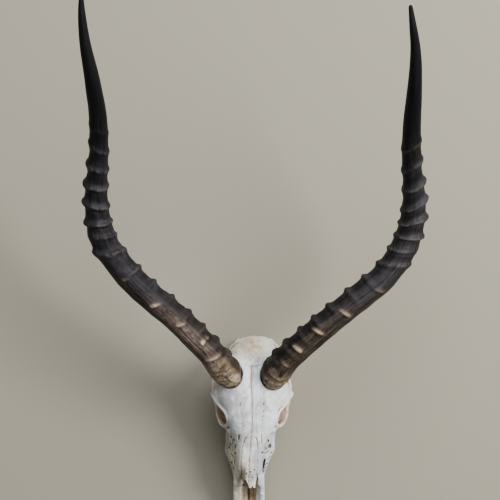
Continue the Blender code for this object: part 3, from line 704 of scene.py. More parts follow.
class HornLine:
    """A horn's middle line, read at distances u from its base."""

    def __init__(self, points, inner_sign):
        self.samples = np.array(finer(points, 24))
        steps = np.linalg.norm(np.diff(self.samples[:, :3], axis=0), axis=1)
        self.run = np.r_[0, np.cumsum(steps)]
        self.length = self.run[-1]
        self.first = (self.samples[1] - self.samples[0]) / self.run[1]
        self.inner_sign = inner_sign

    def at(self, u):
        """x, y, z and width at u, and straight on below the base."""
        got = np.stack([np.interp(u, self.run, self.samples[:, k]) for k in range(4)], -1)
        below = np.minimum(u, 0)[..., None] * self.first[None, :]
        below[..., 3] = 0
        return got + below

    def frame_at(self, u):
        """The directions along the horn, to its inner side and to its front."""
        along = self.at(np.minimum(u + 4, self.length))[..., :3] - self.at(u - 4)[..., :3]
        along /= np.linalg.norm(along, axis=-1, keepdims=True)
        side = np.stack([along[..., 1], -along[..., 0], np.zeros_like(along[..., 0])], -1)
        side /= np.linalg.norm(side, axis=-1, keepdims=True)
        return along, side * self.inner_sign, np.cross(side, along)


def smooth_noise(rng, u, angle, cell, waves):
    """Noise over a horn's skin: cells this long, this many round it, no seam."""
    rows = int(u.max() / cell) + 6
    table = rng.uniform(-1, 1, (rows, waves))
    a = np.clip((u + 3 * cell) / cell, 0, rows - 3)
    b = (angle / (2 * math.pi)) * waves
    i, j = np.floor(a).astype(int), np.floor(b).astype(int)
    s, t = a - i, b - j
    s, t = s * s * (3 - 2 * s), t * t * (3 - 2 * t)
    j0, j1 = j % waves, (j + 1) % waves
    return ((table[i, j0] * (1 - t) + table[i, j1] * t) * (1 - s)
            + (table[i + 1, j0] * (1 - t) + table[i + 1, j1] * t) * s)


def horn_rows(ridges, length):
    """The skin's rows: u inside, u outside, and the place between two crests, 0 to 1."""
    rows = []
    for t in np.linspace(0, 1, 9)[:-1]:
        rows.append((2.0 + 11 * t, 2.0 + 9.5 * t, 0.5 + 0.5 * t))
    ends = list(ridges) + [(SMOOTH_FROM, SMOOTH_FROM + 8)]
    for (a_in, a_out), (b_in, b_out) in zip(ends, ends[1:]):
        for phase in np.arange(RIDGE_ROWS) / RIDGE_ROWS:
            rows.append((a_in + (b_in - a_in) * phase, a_out + (b_out - a_out) * phase,
                         phase))
    left = length - 1.5 - SMOOTH_FROM
    for t in np.linspace(0, 1, TIP_ROWS):
        rows.append((SMOOTH_FROM + left * t ** 0.85,
                     SMOOTH_FROM + 8 + (left - 8) * t ** 0.85, 0.0 if t == 0 else 0.5))
    for short in (1.0, 0.6, 0.32, 0.14, 0.04):
        rows.append((length - short, length - short, 0.5))
    return np.array(rows)


def ridge_height(u, inner, front, flat_at):
    """The ridges' height: strong inside on the lower half, and outside above it."""
    past = ramp(u, FADE_FROM, FADE_TO)
    inside, outside = 4.8 - 1.7 * past, 0.5 + 4.6 * past
    outside = outside * (1 - 0.9 * bell(u - flat_at, 10))
    height = outside + (inside - outside) * inner ** (2.4 - 1.4 * past)
    height = height * np.where(front < 0.5, 0.45 + 0.55 * front,
                               0.725 + 0.15 * (front - 0.5)) * 1.15
    return height * np.clip((u + 2) / 40, 0.25, 1) * ramp(u, SMOOTH_FROM, SMOOTH_FROM - 85)


def worn_spots(s, spots):
    """How worn the skin is, and how deep the dips below the worn spots are."""
    worn, dip = np.zeros_like(s.u), np.zeros_like(s.u)
    for u0, c0, wide, slant, strong in spots:
        c = np.cos(s.angle) - c0
        away = s.u - u0 - slant * c
        outward = 1 - 0.4 * np.clip(c / wide, -1, 1)
        reach = np.where(away < 0, 2.2, 3.6 + 1.4 * strong)
        strong = strong * (s.front > 0.5)
        worn += strong * outward * bell(away, reach) * bell(c, 1.15 * wide, 3)
        dip += 0.6 * strong * bell(away + 6.5, 3.5) * bell(c, 1.2 * wide, 2.6)
    return worn, dip


def fibre_relief(rng, s):
    """Fibres, grooves and small lumps, strongest at the horn's base and back."""
    low = np.clip(1 - s.u / SMOOTH_FROM, 0.12, 1)
    back = 1.25 - 0.5 * s.front
    relief = 0.30 * low * back * smooth_noise(rng, s.u, s.angle, 70, 34)
    relief += 0.22 * low * back * smooth_noise(rng, s.u, s.angle, 34, 61)
    groove = np.clip(smooth_noise(rng, s.u, s.angle, 90, 19) - 0.35, 0, 1)
    relief -= 1.5 * low * groove * (1 - 0.5 * s.inner)
    relief += 0.16 * low * smooth_noise(rng, s.u, s.angle, 3.2, 9) * ramp(s.u, 0, 20)
    return relief + 0.35 * low * smooth_noise(rng, s.u, s.angle, 13, 11)


def horn_grid(rng, horn, line):
    """The skin's points: where on the horn each one lies, and its ridge's height."""
    rows = horn_rows(horn.ridges, line.length)
    angle = 2 * math.pi * (np.arange(SKIN_SIDES) + 0.5) / SKIN_SIDES
    angle = np.broadcast_to(angle, (len(rows), SKIN_SIDES))
    inner, front = 0.5 + 0.5 * np.cos(angle), 0.5 + 0.5 * np.sin(angle)
    u = rows[:, 1:2] + (rows[:, 0:1] - rows[:, 1:2]) * inner
    lip = np.clip(1 - rows[:, 0:1] / 26, 0, 1) * BASE_LIP * np.sin(angle)
    ridged = ramp(u, SMOOTH_FROM, SMOOTH_FROM - 40) * ramp(u, 9, 21)
    u = u - lip + smooth_noise(rng, u, angle, 26, 7) * 1.7 * ridged  # the crests waver
    phase = rows[:, 2:3] + 0.05 * np.sin(2 * math.pi * rows[:, 2:3])
    wave = 0.5 + 0.5 * np.cos(2 * math.pi * phase)
    past = ramp(u, FADE_FROM, FADE_TO)
    crest = wave ** (2.3 + 1.4 * (inner - 0.5) * (1 - past))
    crest = np.where(rows[:, 0:1] > SMOOTH_FROM, 0.0, crest)
    height = ridge_height(u, inner, front, horn.flat_at)
    return SimpleNamespace(angle=angle, inner=inner, front=front, u=u, lip=lip,
                           phase=phase, wave=wave, crest=crest, height=height)


def horn_radius(rng, s, length, width, wear):
    """Half the horn's width at each point, with its ridges, rings and fibres."""
    radius = width / 2 - 0.45 * s.height + s.crest * s.height
    second = bell(s.phase - 0.36, 0.09) + bell(s.phase - 0.7, 0.08)  # softer rings between
    radius += 0.16 * s.height * second * (0.5 + smooth_noise(rng, s.u, s.angle, 30, 5))
    radius -= np.where(s.u < 13, 2.6 * (1 - np.clip(s.u, 0, 13) / 13) ** 4.5, 0)
    ripple = 2 * math.pi * s.u / 8.5 + 2.2 * smooth_noise(rng, s.u, s.angle, 40, 5)
    radius += 0.5 * bell(s.u - 17, 12) * np.sin(ripple)
    radius += wear + fibre_relief(rng, s)
    radius *= np.sqrt(1 - np.clip(1 - (length - s.u) / TIP_ROUND, 0, 1) ** 2)
    root = np.clip(1 - s.u / 24, 0, 1)
    return radius + 0.75 * root * smooth_noise(rng, s.u, s.angle, 7, 12)


def horn_base_ring(rng, line, angle):
    """The flat rim that sits on the pedicle."""
    zero = np.zeros(SKIN_SIDES)
    base = line.at(zero)
    along, inward, forward = line.frame_at(zero)
    edge = base[:, 3] / 2 - 2.3 + 0.3 * smooth_noise(rng, zero, angle, 7, 12)
    return (base[:, :3] + inward * (edge * np.cos(angle))[:, None]
            + forward * (edge * DEPTH * np.sin(angle))[:, None]
            - along * (BASE_LIP * np.sin(angle))[:, None])


def skin_mesh(name, rings, tip, flip):
    """A closed mesh over the rings, with a point in the first and one past the last."""
    count, sides = rings.shape[:2]
    verts = np.concatenate([rings.reshape(-1, 3), [rings[0].mean(0)], [tip]])
    k = np.arange(sides)
    faces = []
    for row in range(count - 1):
        a, b = row * sides, (row + 1) * sides
        faces.extend(zip(a + k, a + (k + 1) % sides, b + (k + 1) % sides, b + k))
    base_i, tip_i, top = count * sides, count * sides + 1, (count - 1) * sides
    faces.extend((base_i, (i + 1) % sides, i) for i in range(sides))
    faces.extend((tip_i, top + i, top + (i + 1) % sides) for i in range(sides))
    if flip:
        faces = [f[::-1] for f in faces]
    mesh = bpy.data.meshes.new(name)
    mesh.from_pydata((verts * MM).tolist(), [], [tuple(int(i) for i in f) for f in faces])
    mesh.shade_smooth()
    return mesh


def horn_object(name, horn, look):
    """A horn's keratin, with what its material reads at each point."""
    line = HornLine(horn.points, horn.inner_sign)
    rng = np.random.default_rng(horn.seed)
    s = horn_grid(rng, horn, line)
    centre = line.at(s.u)
    worn, dip = worn_spots(s, horn.spots)
    radius = horn_radius(rng, s, line.length, centre[..., 3], 1.5 * worn - dip)
    _, inward, forward = line.frame_at(s.u)
    skin = (centre[..., :3] + inward * (radius * np.cos(s.angle))[..., None]
            + forward * (radius * DEPTH * np.sin(s.angle))[..., None])
    rings = np.concatenate([horn_base_ring(rng, line, s.angle[0])[None], skin])
    tip = line.at(np.array([line.length]))[0, :3]
    mesh = skin_mesh(name, rings, tip, flip=horn.inner_sign < 0)
    masks = {  # values on the skin, in the base's middle and at the tip
        "along": (s.u / line.length, 0, 1),
        "crest": (s.crest * ramp(s.height, 0, 1.5), 0, 0),
        # painted shade in the valleys between the ridges
        "valley_shade": (np.clip(1 - s.wave * 2.2, 0, 1) * ramp(s.height, 0, 3.2), 0, 0),
        "facing": (s.front, 0.5, 0.5),
        "inner": (np.cos(s.angle), 0, 0),
        "worn": (worn, 0, 0),
        "rim": (s.u + s.lip, 0, 99),
    }
    for mask, (grid, at_base, at_tip) in masks.items():
        grid = np.concatenate([grid[:1], grid])
        set_attribute(mesh, mask, np.r_[grid.ravel(), at_base, at_tip])
    fibre = np.stack([18 * np.cos(s.angle), 18 * np.sin(s.angle), s.u + horn.seed * 37.0], -1)
    fibre = np.concatenate([fibre[:1], fibre]).reshape(-1, 3)
    fibre = np.concatenate([fibre, fibre[:1], fibre[-1:]])
    set_attribute(mesh, "fibre", fibre, "FLOAT_VECTOR")
    return object_from(name, mesh, look)


# ---- skull

SKULL_TRIANGLES = 190000

# Face rings: y, top, half width there, shoulder, flank's and underside's half width, height
FACE = (
    (-34, 102.5, 28, 95, 27, 74, 18, 34), (-48, 100.5, 29, 94, 29, 68, 27, 16),
    (-60, 97.5, 28, 90, 33, 62, 32.3, 9.5), (-72, 94, 24.5, 87, 31.5, 58, 33, 9),
    (-84, 90.5, 20.5, 83.5, 31.3, 50, 33.6, 9),
    (-96, 87.5, 18.2, 79.5, 32.6, 44, 33.4, 9),
    (-106, 85, 17.8, 76.5, 32.2, 40, 32, 9), (-116, 82, 17.4, 73.5, 28.6, 40, 28.8, 9),
    (-126, 79.5, 15.6, 71.5, 24.4, 42, 24.6, 9.5),
    (-136, 76.6, 12.4, 70, 21.4, 43, 21, 10.5),
    (-143, 74.6, 12, 68, 20.4, 43, 17.5, 17), (-151, 72, 11.4, 66, 20, 43, 16.5, 20),
)
# Roof rings: y, top, half width, height of the edge and of the underside
ROOF = (
    (26, 96, 16, 88, 70), (14, 101, 28, 90, 66), (2, 104, 39, 88, 64),
    (-10, 105, 47, 86.5, 66), (-20, 104.8, 50.8, 85, 70), (-27, 104.4, 52.2, 84.5, 74),
    (-33, 103.6, 48.6, 87, 76), (-41, 102.4, 40.6, 90, 77),
    (-50, 100.6, 34.6, 91.5, 74), (-58, 98.6, 33.2, 90.5, 64),
    (-68, 95.6, 30, 86, 54), (-80, 91.6, 24, 82, 48),
)
# Level rings of the braincase: z, half width, back
BRAINCASE = ((20, 15, 28), (30, 25, 35.5), (42, 32, 40), (54, 35.8, 43.5), (66, 37, 46.2),
             (75, 35.4, 48.3), (80, 32.6, 49), (84, 28.6, 47.6), (90, 21.4, 42.4),
             (95, 13, 33.6))
BRAIN_MIDDLE = 8  # its y
# Rings of the front jaw bone: y, outer and inner side on top, top, inner side below, low
FRONT_JAW = (
    (-108, 18.4, 12, 74, 11.8, 60), (-118, 19, 12, 70, 11.6, 50),
    (-128, 19.8, 12, 64.5, 11, 32), (-138, 20.6, 13, 58.5, 8.6, 21),
    (-150, 20.8, 14, 53, 6.4, 20), (-162, 21, 15, 45.5, 5, 19),
    (-175, 20.9, 14.4, 37.5, 4.6, 18), (-188, 20.3, 13.2, 30.5, 4.5, 17.5),
    (-199, 19.3, 11.6, 26, 4.5, 17.5), (-208, 17.6, 9, 23.4, 4.5, 18),
    (-215, 15, 6.4, 22.2, 4.4, 18.6), (-219.5, 11.6, 6.2, 21.4, 5.4, 19.4),
)
# The nose's passage: y, half width and height on top, then at its floor
NOSE_PASSAGE = (
    (-92, 6, 70, 4, 44), (-98, 10.4, 77.5, 6.6, 36), (-112, 13, 77, 8, 31),
    (-126, 12.4, 75, 7.6, 28), (-138, 12.2, 72.2, 7, 26.5), (-150, 17, 68.6, 5, 26),
    (-164, 27, 66, 4.6, 25),
)
# Hollows over the middle: y, half width, low, high
MOUTH_ROOF = ((-44, 16, -12, 15), (-58, 17, -12, 16.5), (-74, 17.6, -12, 17.5),
              (-100, 17.2, -12, 18), (-116, 15.6, -12, 17.5), (-128, 13, -12, 17),
              (-140, 12, -12, 18), (-158, 10, -12, 17))
THROAT = ((-72, 5, 27, 34), (-62, 8.4, 12, 38), (-48, 8.2, 6, 38), (-34, 7, 8, 33),
          (-20, 5.6, 10, 24))
# Hollows on both sides of the middle: centre, radii, turn
SIDE_HOLLOWS = (
    ((32.5, -47, 67), (24, 20, 21), (0, -8, 12)),  # eye socket
    ((25.8, -91, 77), (2.4, 7, 8), (0, 20, 10)),  # gap before the eye
    ((19.8, -120, 70), (1.2, 9, 6), (0, 8, -2)),  # gap beside the nasal bone
    ((24.6, -119, 34), (5, 3.4, 3.2), (0, 0, 30)),  # nerve's hole in the cheek
    ((38.5, 16.5, 45), (6, 2, 2), (0, -24, 0)),  # ear
)
# The opening between nasal and front jaw bone from the side: y, z
NOSTRIL = ((-131, 60.5), (-140, 65.2), (-162, 66.5), (-162, 44), (-150, 53), (-138, 58.5))
# What is broken off the nasal bones' tips, from above: x, y
BREAKS = (
    ((-14, -139.5), (-10, -138), (-7.2, -140.8), (-4.6, -139.4), (-2.4, -142.6),
     (0.2, -149), (0.6, -156), (-14, -156)),
    ((4.6, -141.4), (6.6, -156), (2.6, -156)),
    ((12.6, -138), (10.4, -143.6), (9, -147), (9.4, -156), (15, -156)),
)


def mirrored_ring(y, half, under, steps):
    """A smooth ring at y over the right half's points and their mirror images."""
    whole = half + [(0, under)] + [(-x, z) for x, z in half[:0:-1]]
    return [(x, y, z) for x, z in smooth_ring(whole, steps)]


def face_ring(y, top, w_top, shoulder, w_mid, z_mid, w_low, low):
    half = [(0, top), (0.62 * w_top, top - 0.8), (w_top, shoulder),
            (0.5 * (w_top + w_mid) + 1.2, 0.55 * shoulder + 0.45 * z_mid),
            (w_mid, z_mid), (0.4 * w_mid + 0.6 * w_low, 0.5 * (z_mid + low)),
            (w_low, low + 4), (w_low - 1.5, low), (0.5 * w_low, low)]
    return mirrored_ring(y, half, low, 4)


def roof_ring(y, top, half_width, edge, under):
    half = [(0, top), (0.45 * half_width, top - 0.6),
            (0.78 * half_width, top - 0.33 * (top - edge)), (half_width, edge),
            (0.95 * half_width, edge - 4.5), (0.6 * half_width, under)]
    return mirrored_ring(y, half, under, 5)


def nose_ring(y, w_top, top, w_low, low):
    half = [(0, top), (w_top - 2.4, top), (w_top, top - 3),
            (0.5 * (w_top + w_low), 0.5 * (top + low)), (w_low, low + 1.6),
            (w_low - 2, low)]
    return mirrored_ring(y, half, low, 5)


def braincase_ring(z, half_width, back):
    return [(half_width * c, BRAIN_MIDDLE + (back - BRAIN_MIDDLE) * s, z)
            for c, s in superellipse(2.4, 40)]


def box_ring(y, x0, x1, z0, z1, power=3.2, sides=20):
    return [(0.5 * (x0 + x1) + 0.5 * (x1 - x0) * c, y,
             0.5 * (z0 + z1) + 0.5 * (z1 - z0) * s) for c, s in superellipse(power, sides)]


def jaw_ring(y, outer, inner, top, inner_low, low):
    """The front jaw bone across: upright outside, sloping down to the middle inside."""
    outline = [(outer - 1.4, top), (outer, top - 0.2 * (top - low)),
               (outer, low + 0.25 * (top - low)), (outer - 2.4, low), (inner_low + 1, low),
               (inner_low, low + 0.12 * (top - low)), (inner, top - 0.08 * (top - low)),
               (inner + 1.2, top)]
    return [(x, y, z) for x, z in smooth_ring(outline, 5)]


def add_rows(bm, ring, rows, steps=3):
    """A loft over rows of measures, each one made a ring by the function."""
    add_loft(bm, [ring(*row) for row in finer(rows, steps)])


def add_braincase(bm):
    """The braincase, the crest across its back, the nape's knob and the skull's base."""
    add_egg(bm, (0, 10, 62), (37, 38.5, 38), power=2.3, sides=72, rings=44)
    add_rows(bm, braincase_ring, BRAINCASE)
    add_tube(bm, [(35.6, 14, 50, 2.6), (34.4, 24, 58, 2.6), (31, 34.5, 68, 2.4),
                  (22, 43, 76.5, 2.4), (10, 48, 80.5, 2.4), (-2, 49, 81.5, 2.4)])
    add_egg(bm, (0, 46, 72), (4.5, 5, 10))
    add_tube(bm, [(0, -36, 38, 10), (0, -14, 31, 9), (0, 8, 27, 10), (0, 30, 25, 12)])


def add_pedicle(bm):
    """The mass under a horn and the short post that carries it."""
    add_egg(bm, (20, -2, 80), (22, 30, 23), turn=(0, 20, -14))
    add_egg(bm, (17, -22, 84), (24, 22, 16))
    add_tube(bm, [(20, 0, 76, 15), (25, -3.4, 88, 16.8), (29.2, 0.9, 98, 17.2),
                  (30.2, 2.7, 101, 17)], sides=40)


def add_orbit(bm):
    """The rim of the eye's socket, and the masses in front of it and below."""
    add_tube(bm, [(50.8, -26.5, 82, 3.4), (42.8, -38.8, 89.5, 2.4), (34.8, -48.8, 92, 2.3),
                  (31.5, -59.4, 88.5, 2.6), (32.4, -66.5, 78, 3), (36, -68.6, 66, 3.2),
                  (41.2, -65.2, 54, 3.4), (44.8, -56, 47, 3.5), (46.2, -44.5, 44, 3.5),
                  (49, -33.5, 50, 3.5), (50.2, -27.5, 61, 3.3), (51.2, -25, 72, 3.3)],
             closed=True)
    add_egg(bm, (25, -71, 65), (10, 9, 21), turn=(0, -6, 8))
    add_egg(bm, (36, -60, 45), (6.5, 13, 9), turn=(0, -12, -18))


def add_cheekbone(bm):
    """The arch from the upper jaw to the braincase, and the ledge of the jaw joint."""
    add_tube(bm, [(30.5, -72.5, 42, 6.6), (38.6, -61.5, 41, 6.8), (45, -47, 40.5, 6.8),
                  (49.4, -32, 44, 6.2), (50.4, -18, 46.5, 5.6), (48.5, -4, 48.5, 5.6),
                  (43, 8, 50, 6.2), (34, 16, 50, 8.5), (28, 19, 50, 10)], flat=0.56)
    add_tube(bm, [(42, 9, 49, 4), (36, 16, 46, 5.5), (28, 22, 48, 7)])


def add_ear_and_nape(bm):
    """The ear's tube and bulla, the neck joint's knob and the process beside it."""
    add_tube(bm, [(26, 15, 38, 5), (33, 16, 42, 4), (39, 16.5, 45, 3.4)])
    add_egg(bm, (18.5, 20, 25), (7, 11.5, 9.5), turn=(-12, 0, 14))
    add_egg(bm, (10.8, 35.5, 23), (7.2, 10.5, 10.5), turn=(25, 0, -24))
    add_tube(bm, [(27, 26, 46, 8), (27, 31, 32, 6), (25.4, 36, 18, 4.2),
                  (23, 39, 7, 3.5), (21.6, 40.2, -3, 3.2)], flat=0.8)


def add_jaw(bm):
    """The plate beside the throat, the front jaw bone, its palate and the tooth row's mass."""
    add_rows(bm, box_ring, ((-62, 10.5, 15, 14, 40), (-52, 9.5, 13, 13.5, 42),
                            (-40, 8.6, 11.4, 16, 42), (-28, 8.2, 10.8, 20, 40),
                            (-16, 7.4, 11, 26, 36)))
    add_rows(bm, jaw_ring, FRONT_JAW, 4)
    add_tube(bm, [(4.5, -134, 23, 4.2), (4.2, -160, 22, 3.9), (4.3, -180, 21.4, 3.6),
                  (5, -198, 21, 3.2), (8, -208, 20.6, 3)])
    add_egg(bm, (26.5, -101, 30), (7, 13, 11), turn=(0, 0, 8))


def skull_body():
    """The skull's masses in the middle and on the right, still separate shells."""
    bm = bmesh.new()
    add_rows(bm, face_ring, FACE)
    add_rows(bm, roof_ring, ROOF)
    for add_part in (add_braincase, add_pedicle, add_orbit, add_cheekbone,
                     add_ear_and_nape, add_jaw):
        add_part(bm)
    return bm


def add_middle_hollow(bm, rows, sides):
    add_loft(bm, [box_ring(y, -w, w, low, high, power=2.6, sides=sides)
                  for y, w, low, high in finer(rows, 3)])


def add_seat(bm, points):
    """The shape the skull leaves free for a horn's base."""
    samples = [spline(points, k / 6) for k in range(20)]
    places = [Vector(sample[:3]) for sample in samples]
    rings = []
    for k in (0, 2, 4, 7, 10, 14):
        along = (places[k + 1] - places[max(k - 1, 0)]).normalized()
        side = along.cross(Vector((0, 0, 1))).normalized()
        forward = side.cross(along)
        radius = samples[k][3] / 2 + (-1.9 if k == 0 else 1.2)
        lip = BASE_LIP * max(0, 1 - k / 7) + (0.0 if k else 0.2)
        rings.append([
            places[k] + side * (radius * math.cos(a)) + forward * (radius * DEPTH * math.sin(a))
            - along * (lip * math.sin(a) + (GAP if k == 0 else 0))
            for a in (2 * math.pi * j / 40 for j in range(40))
        ])
    add_loft(bm, rings)


def skull_cuts():
    """Every hollow of the skull as one shape, and the seats of the horns."""
    bm = bmesh.new()
    add_rows(bm, nose_ring, NOSE_PASSAGE)
    add_middle_hollow(bm, MOUTH_ROOF, 40)
    add_middle_hollow(bm, THROAT, 32)
    add_egg(bm, (0, 44, 33), (8.8, 20, 8.6), turn=(-18, 0, 0))  # the neck's opening
    add_egg(bm, (20.2, -121.5, 64), (1.6, 10.5, 11), turn=(0, 10, -3))  # slot in the right cheek
    for side in (-1, 1):
        for (cx, cy, cz), radii, (tx, ty, tz) in SIDE_HOLLOWS:
            add_egg(bm, (side * cx, cy, cz), radii, turn=(tx, side * ty, side * tz))
        add_prism(bm, NOSTRIL, side * 10.5, side * 32, "x")
    for outline in BREAKS:
        add_prism(bm, outline, 58, 90, "z")
    leant(bm)
    add_seat(bm, LEFT_HORN)
    add_seat(bm, RIGHT_HORN)
    return bm


def skull_object(name, look):
    """The bone in one piece: masses joined, hollows cut, softened, dressed, thinned out."""
    skull = object_of(name, both_sides(skull_body()))
    add_modifier(skull, "REMESH", "join", mode="VOXEL", voxel_size=0.95 * MM)
    tool = object_of("hollows", skull_cuts())
    add_modifier(tool, "REMESH", "join", mode="VOXEL", voxel_size=0.7 * MM)
    add_modifier(skull, "BOOLEAN", "hollows", operation="DIFFERENCE", solver="EXACT",
                 object=tool)
    add_modifier(skull, "REMESH", "even", mode="VOXEL", voxel_size=0.9 * MM)
    add_modifier(skull, "SMOOTH", "soften", factor=0.5, iterations=4)
    bake(skull)
    bpy.data.meshes.remove(tool.data)
    dress_skull(skull.data)
    skull.data.materials.append(look)
    share = SKULL_TRIANGLES / (2 * len(skull.data.polygons))
    if share < 1:
        add_modifier(skull, "DECIMATE", "fewer", ratio=share)
        bake(skull)
    skull.data.shade_smooth()
    return skull


# ---- the skull's skin

# Small holes and grooves of the face: x, y, half width and half length, turn, depth
PITS = (
    (25.6, -96.5, 2.2, 3.4, 10, 2.6), (15.3, -102.9, 1.2, 1.5, 0, 2.0),
    (22, -103.6, 0.9, 3.6, -62, 1.4), (27.3, -107, 1.1, 1.3, 0, 1.4),
    (21.8, -121, 1.0, 1.6, 0, 1.5), (14.2, -84, 0.7, 6.5, 3, 0.9),
    (22.5, -88, 0.9, 3.2, 16, 1.0), (24.2, -113, 0.8, 3.4, -30, 0.9),
    (19.6, -98, 0.8, 2.6, 20, 0.9), (-27.6, -93.8, 1.4, 1.8, 0, 1.8),
    (-30, -98.9, 1.2, 1.7, 0, 1.8), (-21.3, -104.5, 1.1, 1.5, 0, 1.7),
    (-26.4, -119, 1.2, 1.6, 0, 1.6), (-26.6, -82.8, 1.0, 2.0, 20, 1.5),
    (-22.9, -85.8, 1.0, 1.8, 0, 1.5), (-16.4, -81.4, 1.2, 3.4, -6, 1.5),
    (-20.8, -94.5, 0.8, 3.4, -14, 1.0), (-25, -108.5, 0.8, 3.0, 30, 1.0),
    (-23.2, -126, 0.8, 2.6, 12, 1.0), (-1.2, -128.5, 1.1, 1.2, 0, 1.2),
    (4.6, -125.6, 1.0, 1.0, 0, 1.1), (-6.4, -131, 0.9, 1.6, 0, 1.0),
    (7.8, -132.5, 0.8, 1.8, 10, 0.9), (1.5, -136, 0.7, 1.8, 0, 0.9),
)
# Grey blots, partly painted shade on the left, and painted light blots, painted shade above 0
# and painted highlight below 0: x, y, half width, half length, strength
GREY_BLOTS = ((-15, -48, 6, 26, 0.40), (14, -46, 5, 24, 0.28), (-36, -28, 9, 9, 0.30),
              (34, -26, 7, 8, 0.12), (-24, -62, 6, 12, 0.22), (7, 2, 4, 16, 0.24),
              (-22, 22, 7, 14, 0.2), (-4, -92, 5, 16, 0.16), (-31, -44, 9, 24, 0.24),
              (3, -72, 6, 12, 0.16))
PAINTED_LIGHT_BLOTS = ((24, 38, 9, 14, -0.22), (-20, -46, 12, 24, 0.06), (34, -40, 10, 20, -0.05),
               (-22, 44, 8, 8, 0.05))
FAR = 30.0  # a seam's distance where there is none
SURFACE = 0.05  # the lowest height of the bone


def blots(table, x, y):
    return sum(much * bell(x - at_x, wide) * bell(y - at_y, long)
               for at_x, at_y, wide, long, much in table)


def skin_relief(s):
    """Seams, eyebrow holes and grooves sink a little; the forehead swells beside its seam."""
    up = np.clip(s.normal[:, 2] * 1.6 - 0.3, 0, 1)
    move = 0.35 * s.rough + 0.22 * s.small
    move -= 0.6 * bell(s.mid - 0.5 * s.rough, 1.5) * up * (s.y < 14)
    for side in (-1, 1):
        swell = bell(s.mid - side * 6.5 - s.rough, 3.6) * up
        move += 0.5 * swell * ramp(s.y, 12, 2) * ramp(s.y, -84, -64)
        hole = np.hypot(s.mid - side * 15, (s.y + 36) / 1.7)
        groove = bell(s.mid - side * (13.5 + (s.y + 60) * 0.10), 2.6)
        move -= bell(hole, 2.2) * up
        move -= 0.8 * groove * ramp(s.y, -36, -46) * ramp(s.y, -78, -66) * up
    move += 0.35 * np.clip(s.rough, -1, 1) * up * (s.y < 10) * (s.y > -80)
    return move - 0.7 * bell(np.abs(s.mid) - s.nasal_edge, 1.1) * up * (s.y < -80)


def skin_pits(s):
    """How deep the small holes go, and the mask of them and of the slot in the cheek."""
    depth, holes = np.zeros_like(s.x), np.zeros_like(s.x)
    for px, py, wide, long, turn, deep in PITS:
        c, t = math.cos(math.radians(turn)), math.sin(math.radians(turn))
        a, b = (s.x - px) * c + (s.y - py) * t, -(s.x - px) * t + (s.y - py) * c
        spot = bell(np.hypot(a / wide, b / long), 1, 2.8)
        spot = spot * (s.normal[:, 2] > 0.02) * (s.z > 30)
        depth += deep * spot
        holes = np.maximum(holes, spot * min(deep / 1.2, 1))
    slot = np.sqrt(((s.mid - 20.2) / 2.7) ** 2 + ((s.y + 121.5) / 11.6) ** 2
                   + ((s.z - 63) / 12) ** 2)
    return depth, np.maximum(holes, ramp(slot, 1.12, 0.995) * (s.normal[:, 2] < 0.75))


def skin_bend(mesh, co, normal):
    """How the skin bends at each point: above 0 in a dent, below 0 on an edge."""
    edges = np.empty(len(mesh.edges) * 2, np.int32)
    mesh.edges.foreach_get("vertices", edges)
    edges = edges.reshape(-1, 2)
    total, count = np.zeros_like(co), np.zeros(len(co))
    for a, b in ((0, 1), (1, 0)):
        for axis in range(3):
            total[:, axis] += np.bincount(edges[:, a], co[edges[:, b], axis], len(co))
        count += np.bincount(edges[:, a], minlength=len(co))
    bend = np.einsum("ij,ij->i", total / count[:, None] - co, normal)
    for _ in range(3):
        soft = np.bincount(edges[:, 0], bend[edges[:, 1]], len(co)) \
            + np.bincount(edges[:, 1], bend[edges[:, 0]], len(co))
        bend = 0.5 * bend + 0.5 * soft / count
    return bend


def hollow_shade_mask(s):
    """Painted shade, brown: the nose's inside, the eye sockets and the underside."""
    inward = -(s.normal[:, 0] * s.mid + s.normal[:, 2] * (s.z - 50)) \
        / (np.hypot(s.mid, s.z - 50) + 1e-6)
    opening = np.where(s.mid > 0, np.interp(s.y, [-158, -147, -136], [11, 11.4, 17]),
                       np.interp(s.y, [-158, -147, -136], [5.2, 7, 17]))
    nose = (ramp(s.y, -88, -94) * (s.z > 23)
            * ramp(opening + 0.8 * s.small - np.abs(s.mid), 0, 1.6)
            * np.clip(inward * 4 + 0.5, 0, 1) * ramp(s.y, -164, -154))
    nose_floor = ((s.z < 34) & (np.abs(s.mid) < 9.8) & (s.y < -128) & (s.y > -196)
                  & (s.normal[:, 2] > -0.2))
    nose = np.maximum(nose, 0.9 * nose_floor)
    away = np.stack([np.abs(s.mid) - 32.5, s.y + 47, s.z - 67], -1)
    reach = np.linalg.norm(away / (25.5, 21.5, 22.5), axis=1)
    turned = s.normal * np.stack([np.sign(s.mid), np.ones_like(s.x), np.ones_like(s.x)], -1)
    toward = -np.einsum("ij,ij->i", away, turned) / (np.linalg.norm(away, axis=1) + 1e-6)
    socket = np.clip((1.1 - reach) * 9, 0, 1) * np.clip(toward * 3 + 0.1, 0, 1)
    under = ramp(s.z, 22, 8) * (s.normal[:, 2] < 0.2)
    return np.clip(np.maximum(nose, 0.8 * socket) + 0.2 * under, 0, 1)


def cream_mask(s, lit):
    """Where the bone is cream and not white: crown, nose, flanks and low places, but not the
    nose's lit right side, kept white as painted highlight.
    """
    # painted highlight: less cream on the nose's right top, which the light falls on
    unlit_share = 1 - 1.3 * ramp(s.mid, 9, 12) * ramp(s.normal[:, 2], 0, 0.5)
    cream = (0.1 + 0.8 * ramp(s.y, 14, 30) + 0.75 * ramp(s.y, -88, -112) * unlit_share
             + 0.7 * ramp(s.z, 84, 54) + 0.5 * ramp(np.abs(s.x), 26, 46))
    return np.clip(cream, 0, 1) * (1 - 0.85 * lit)


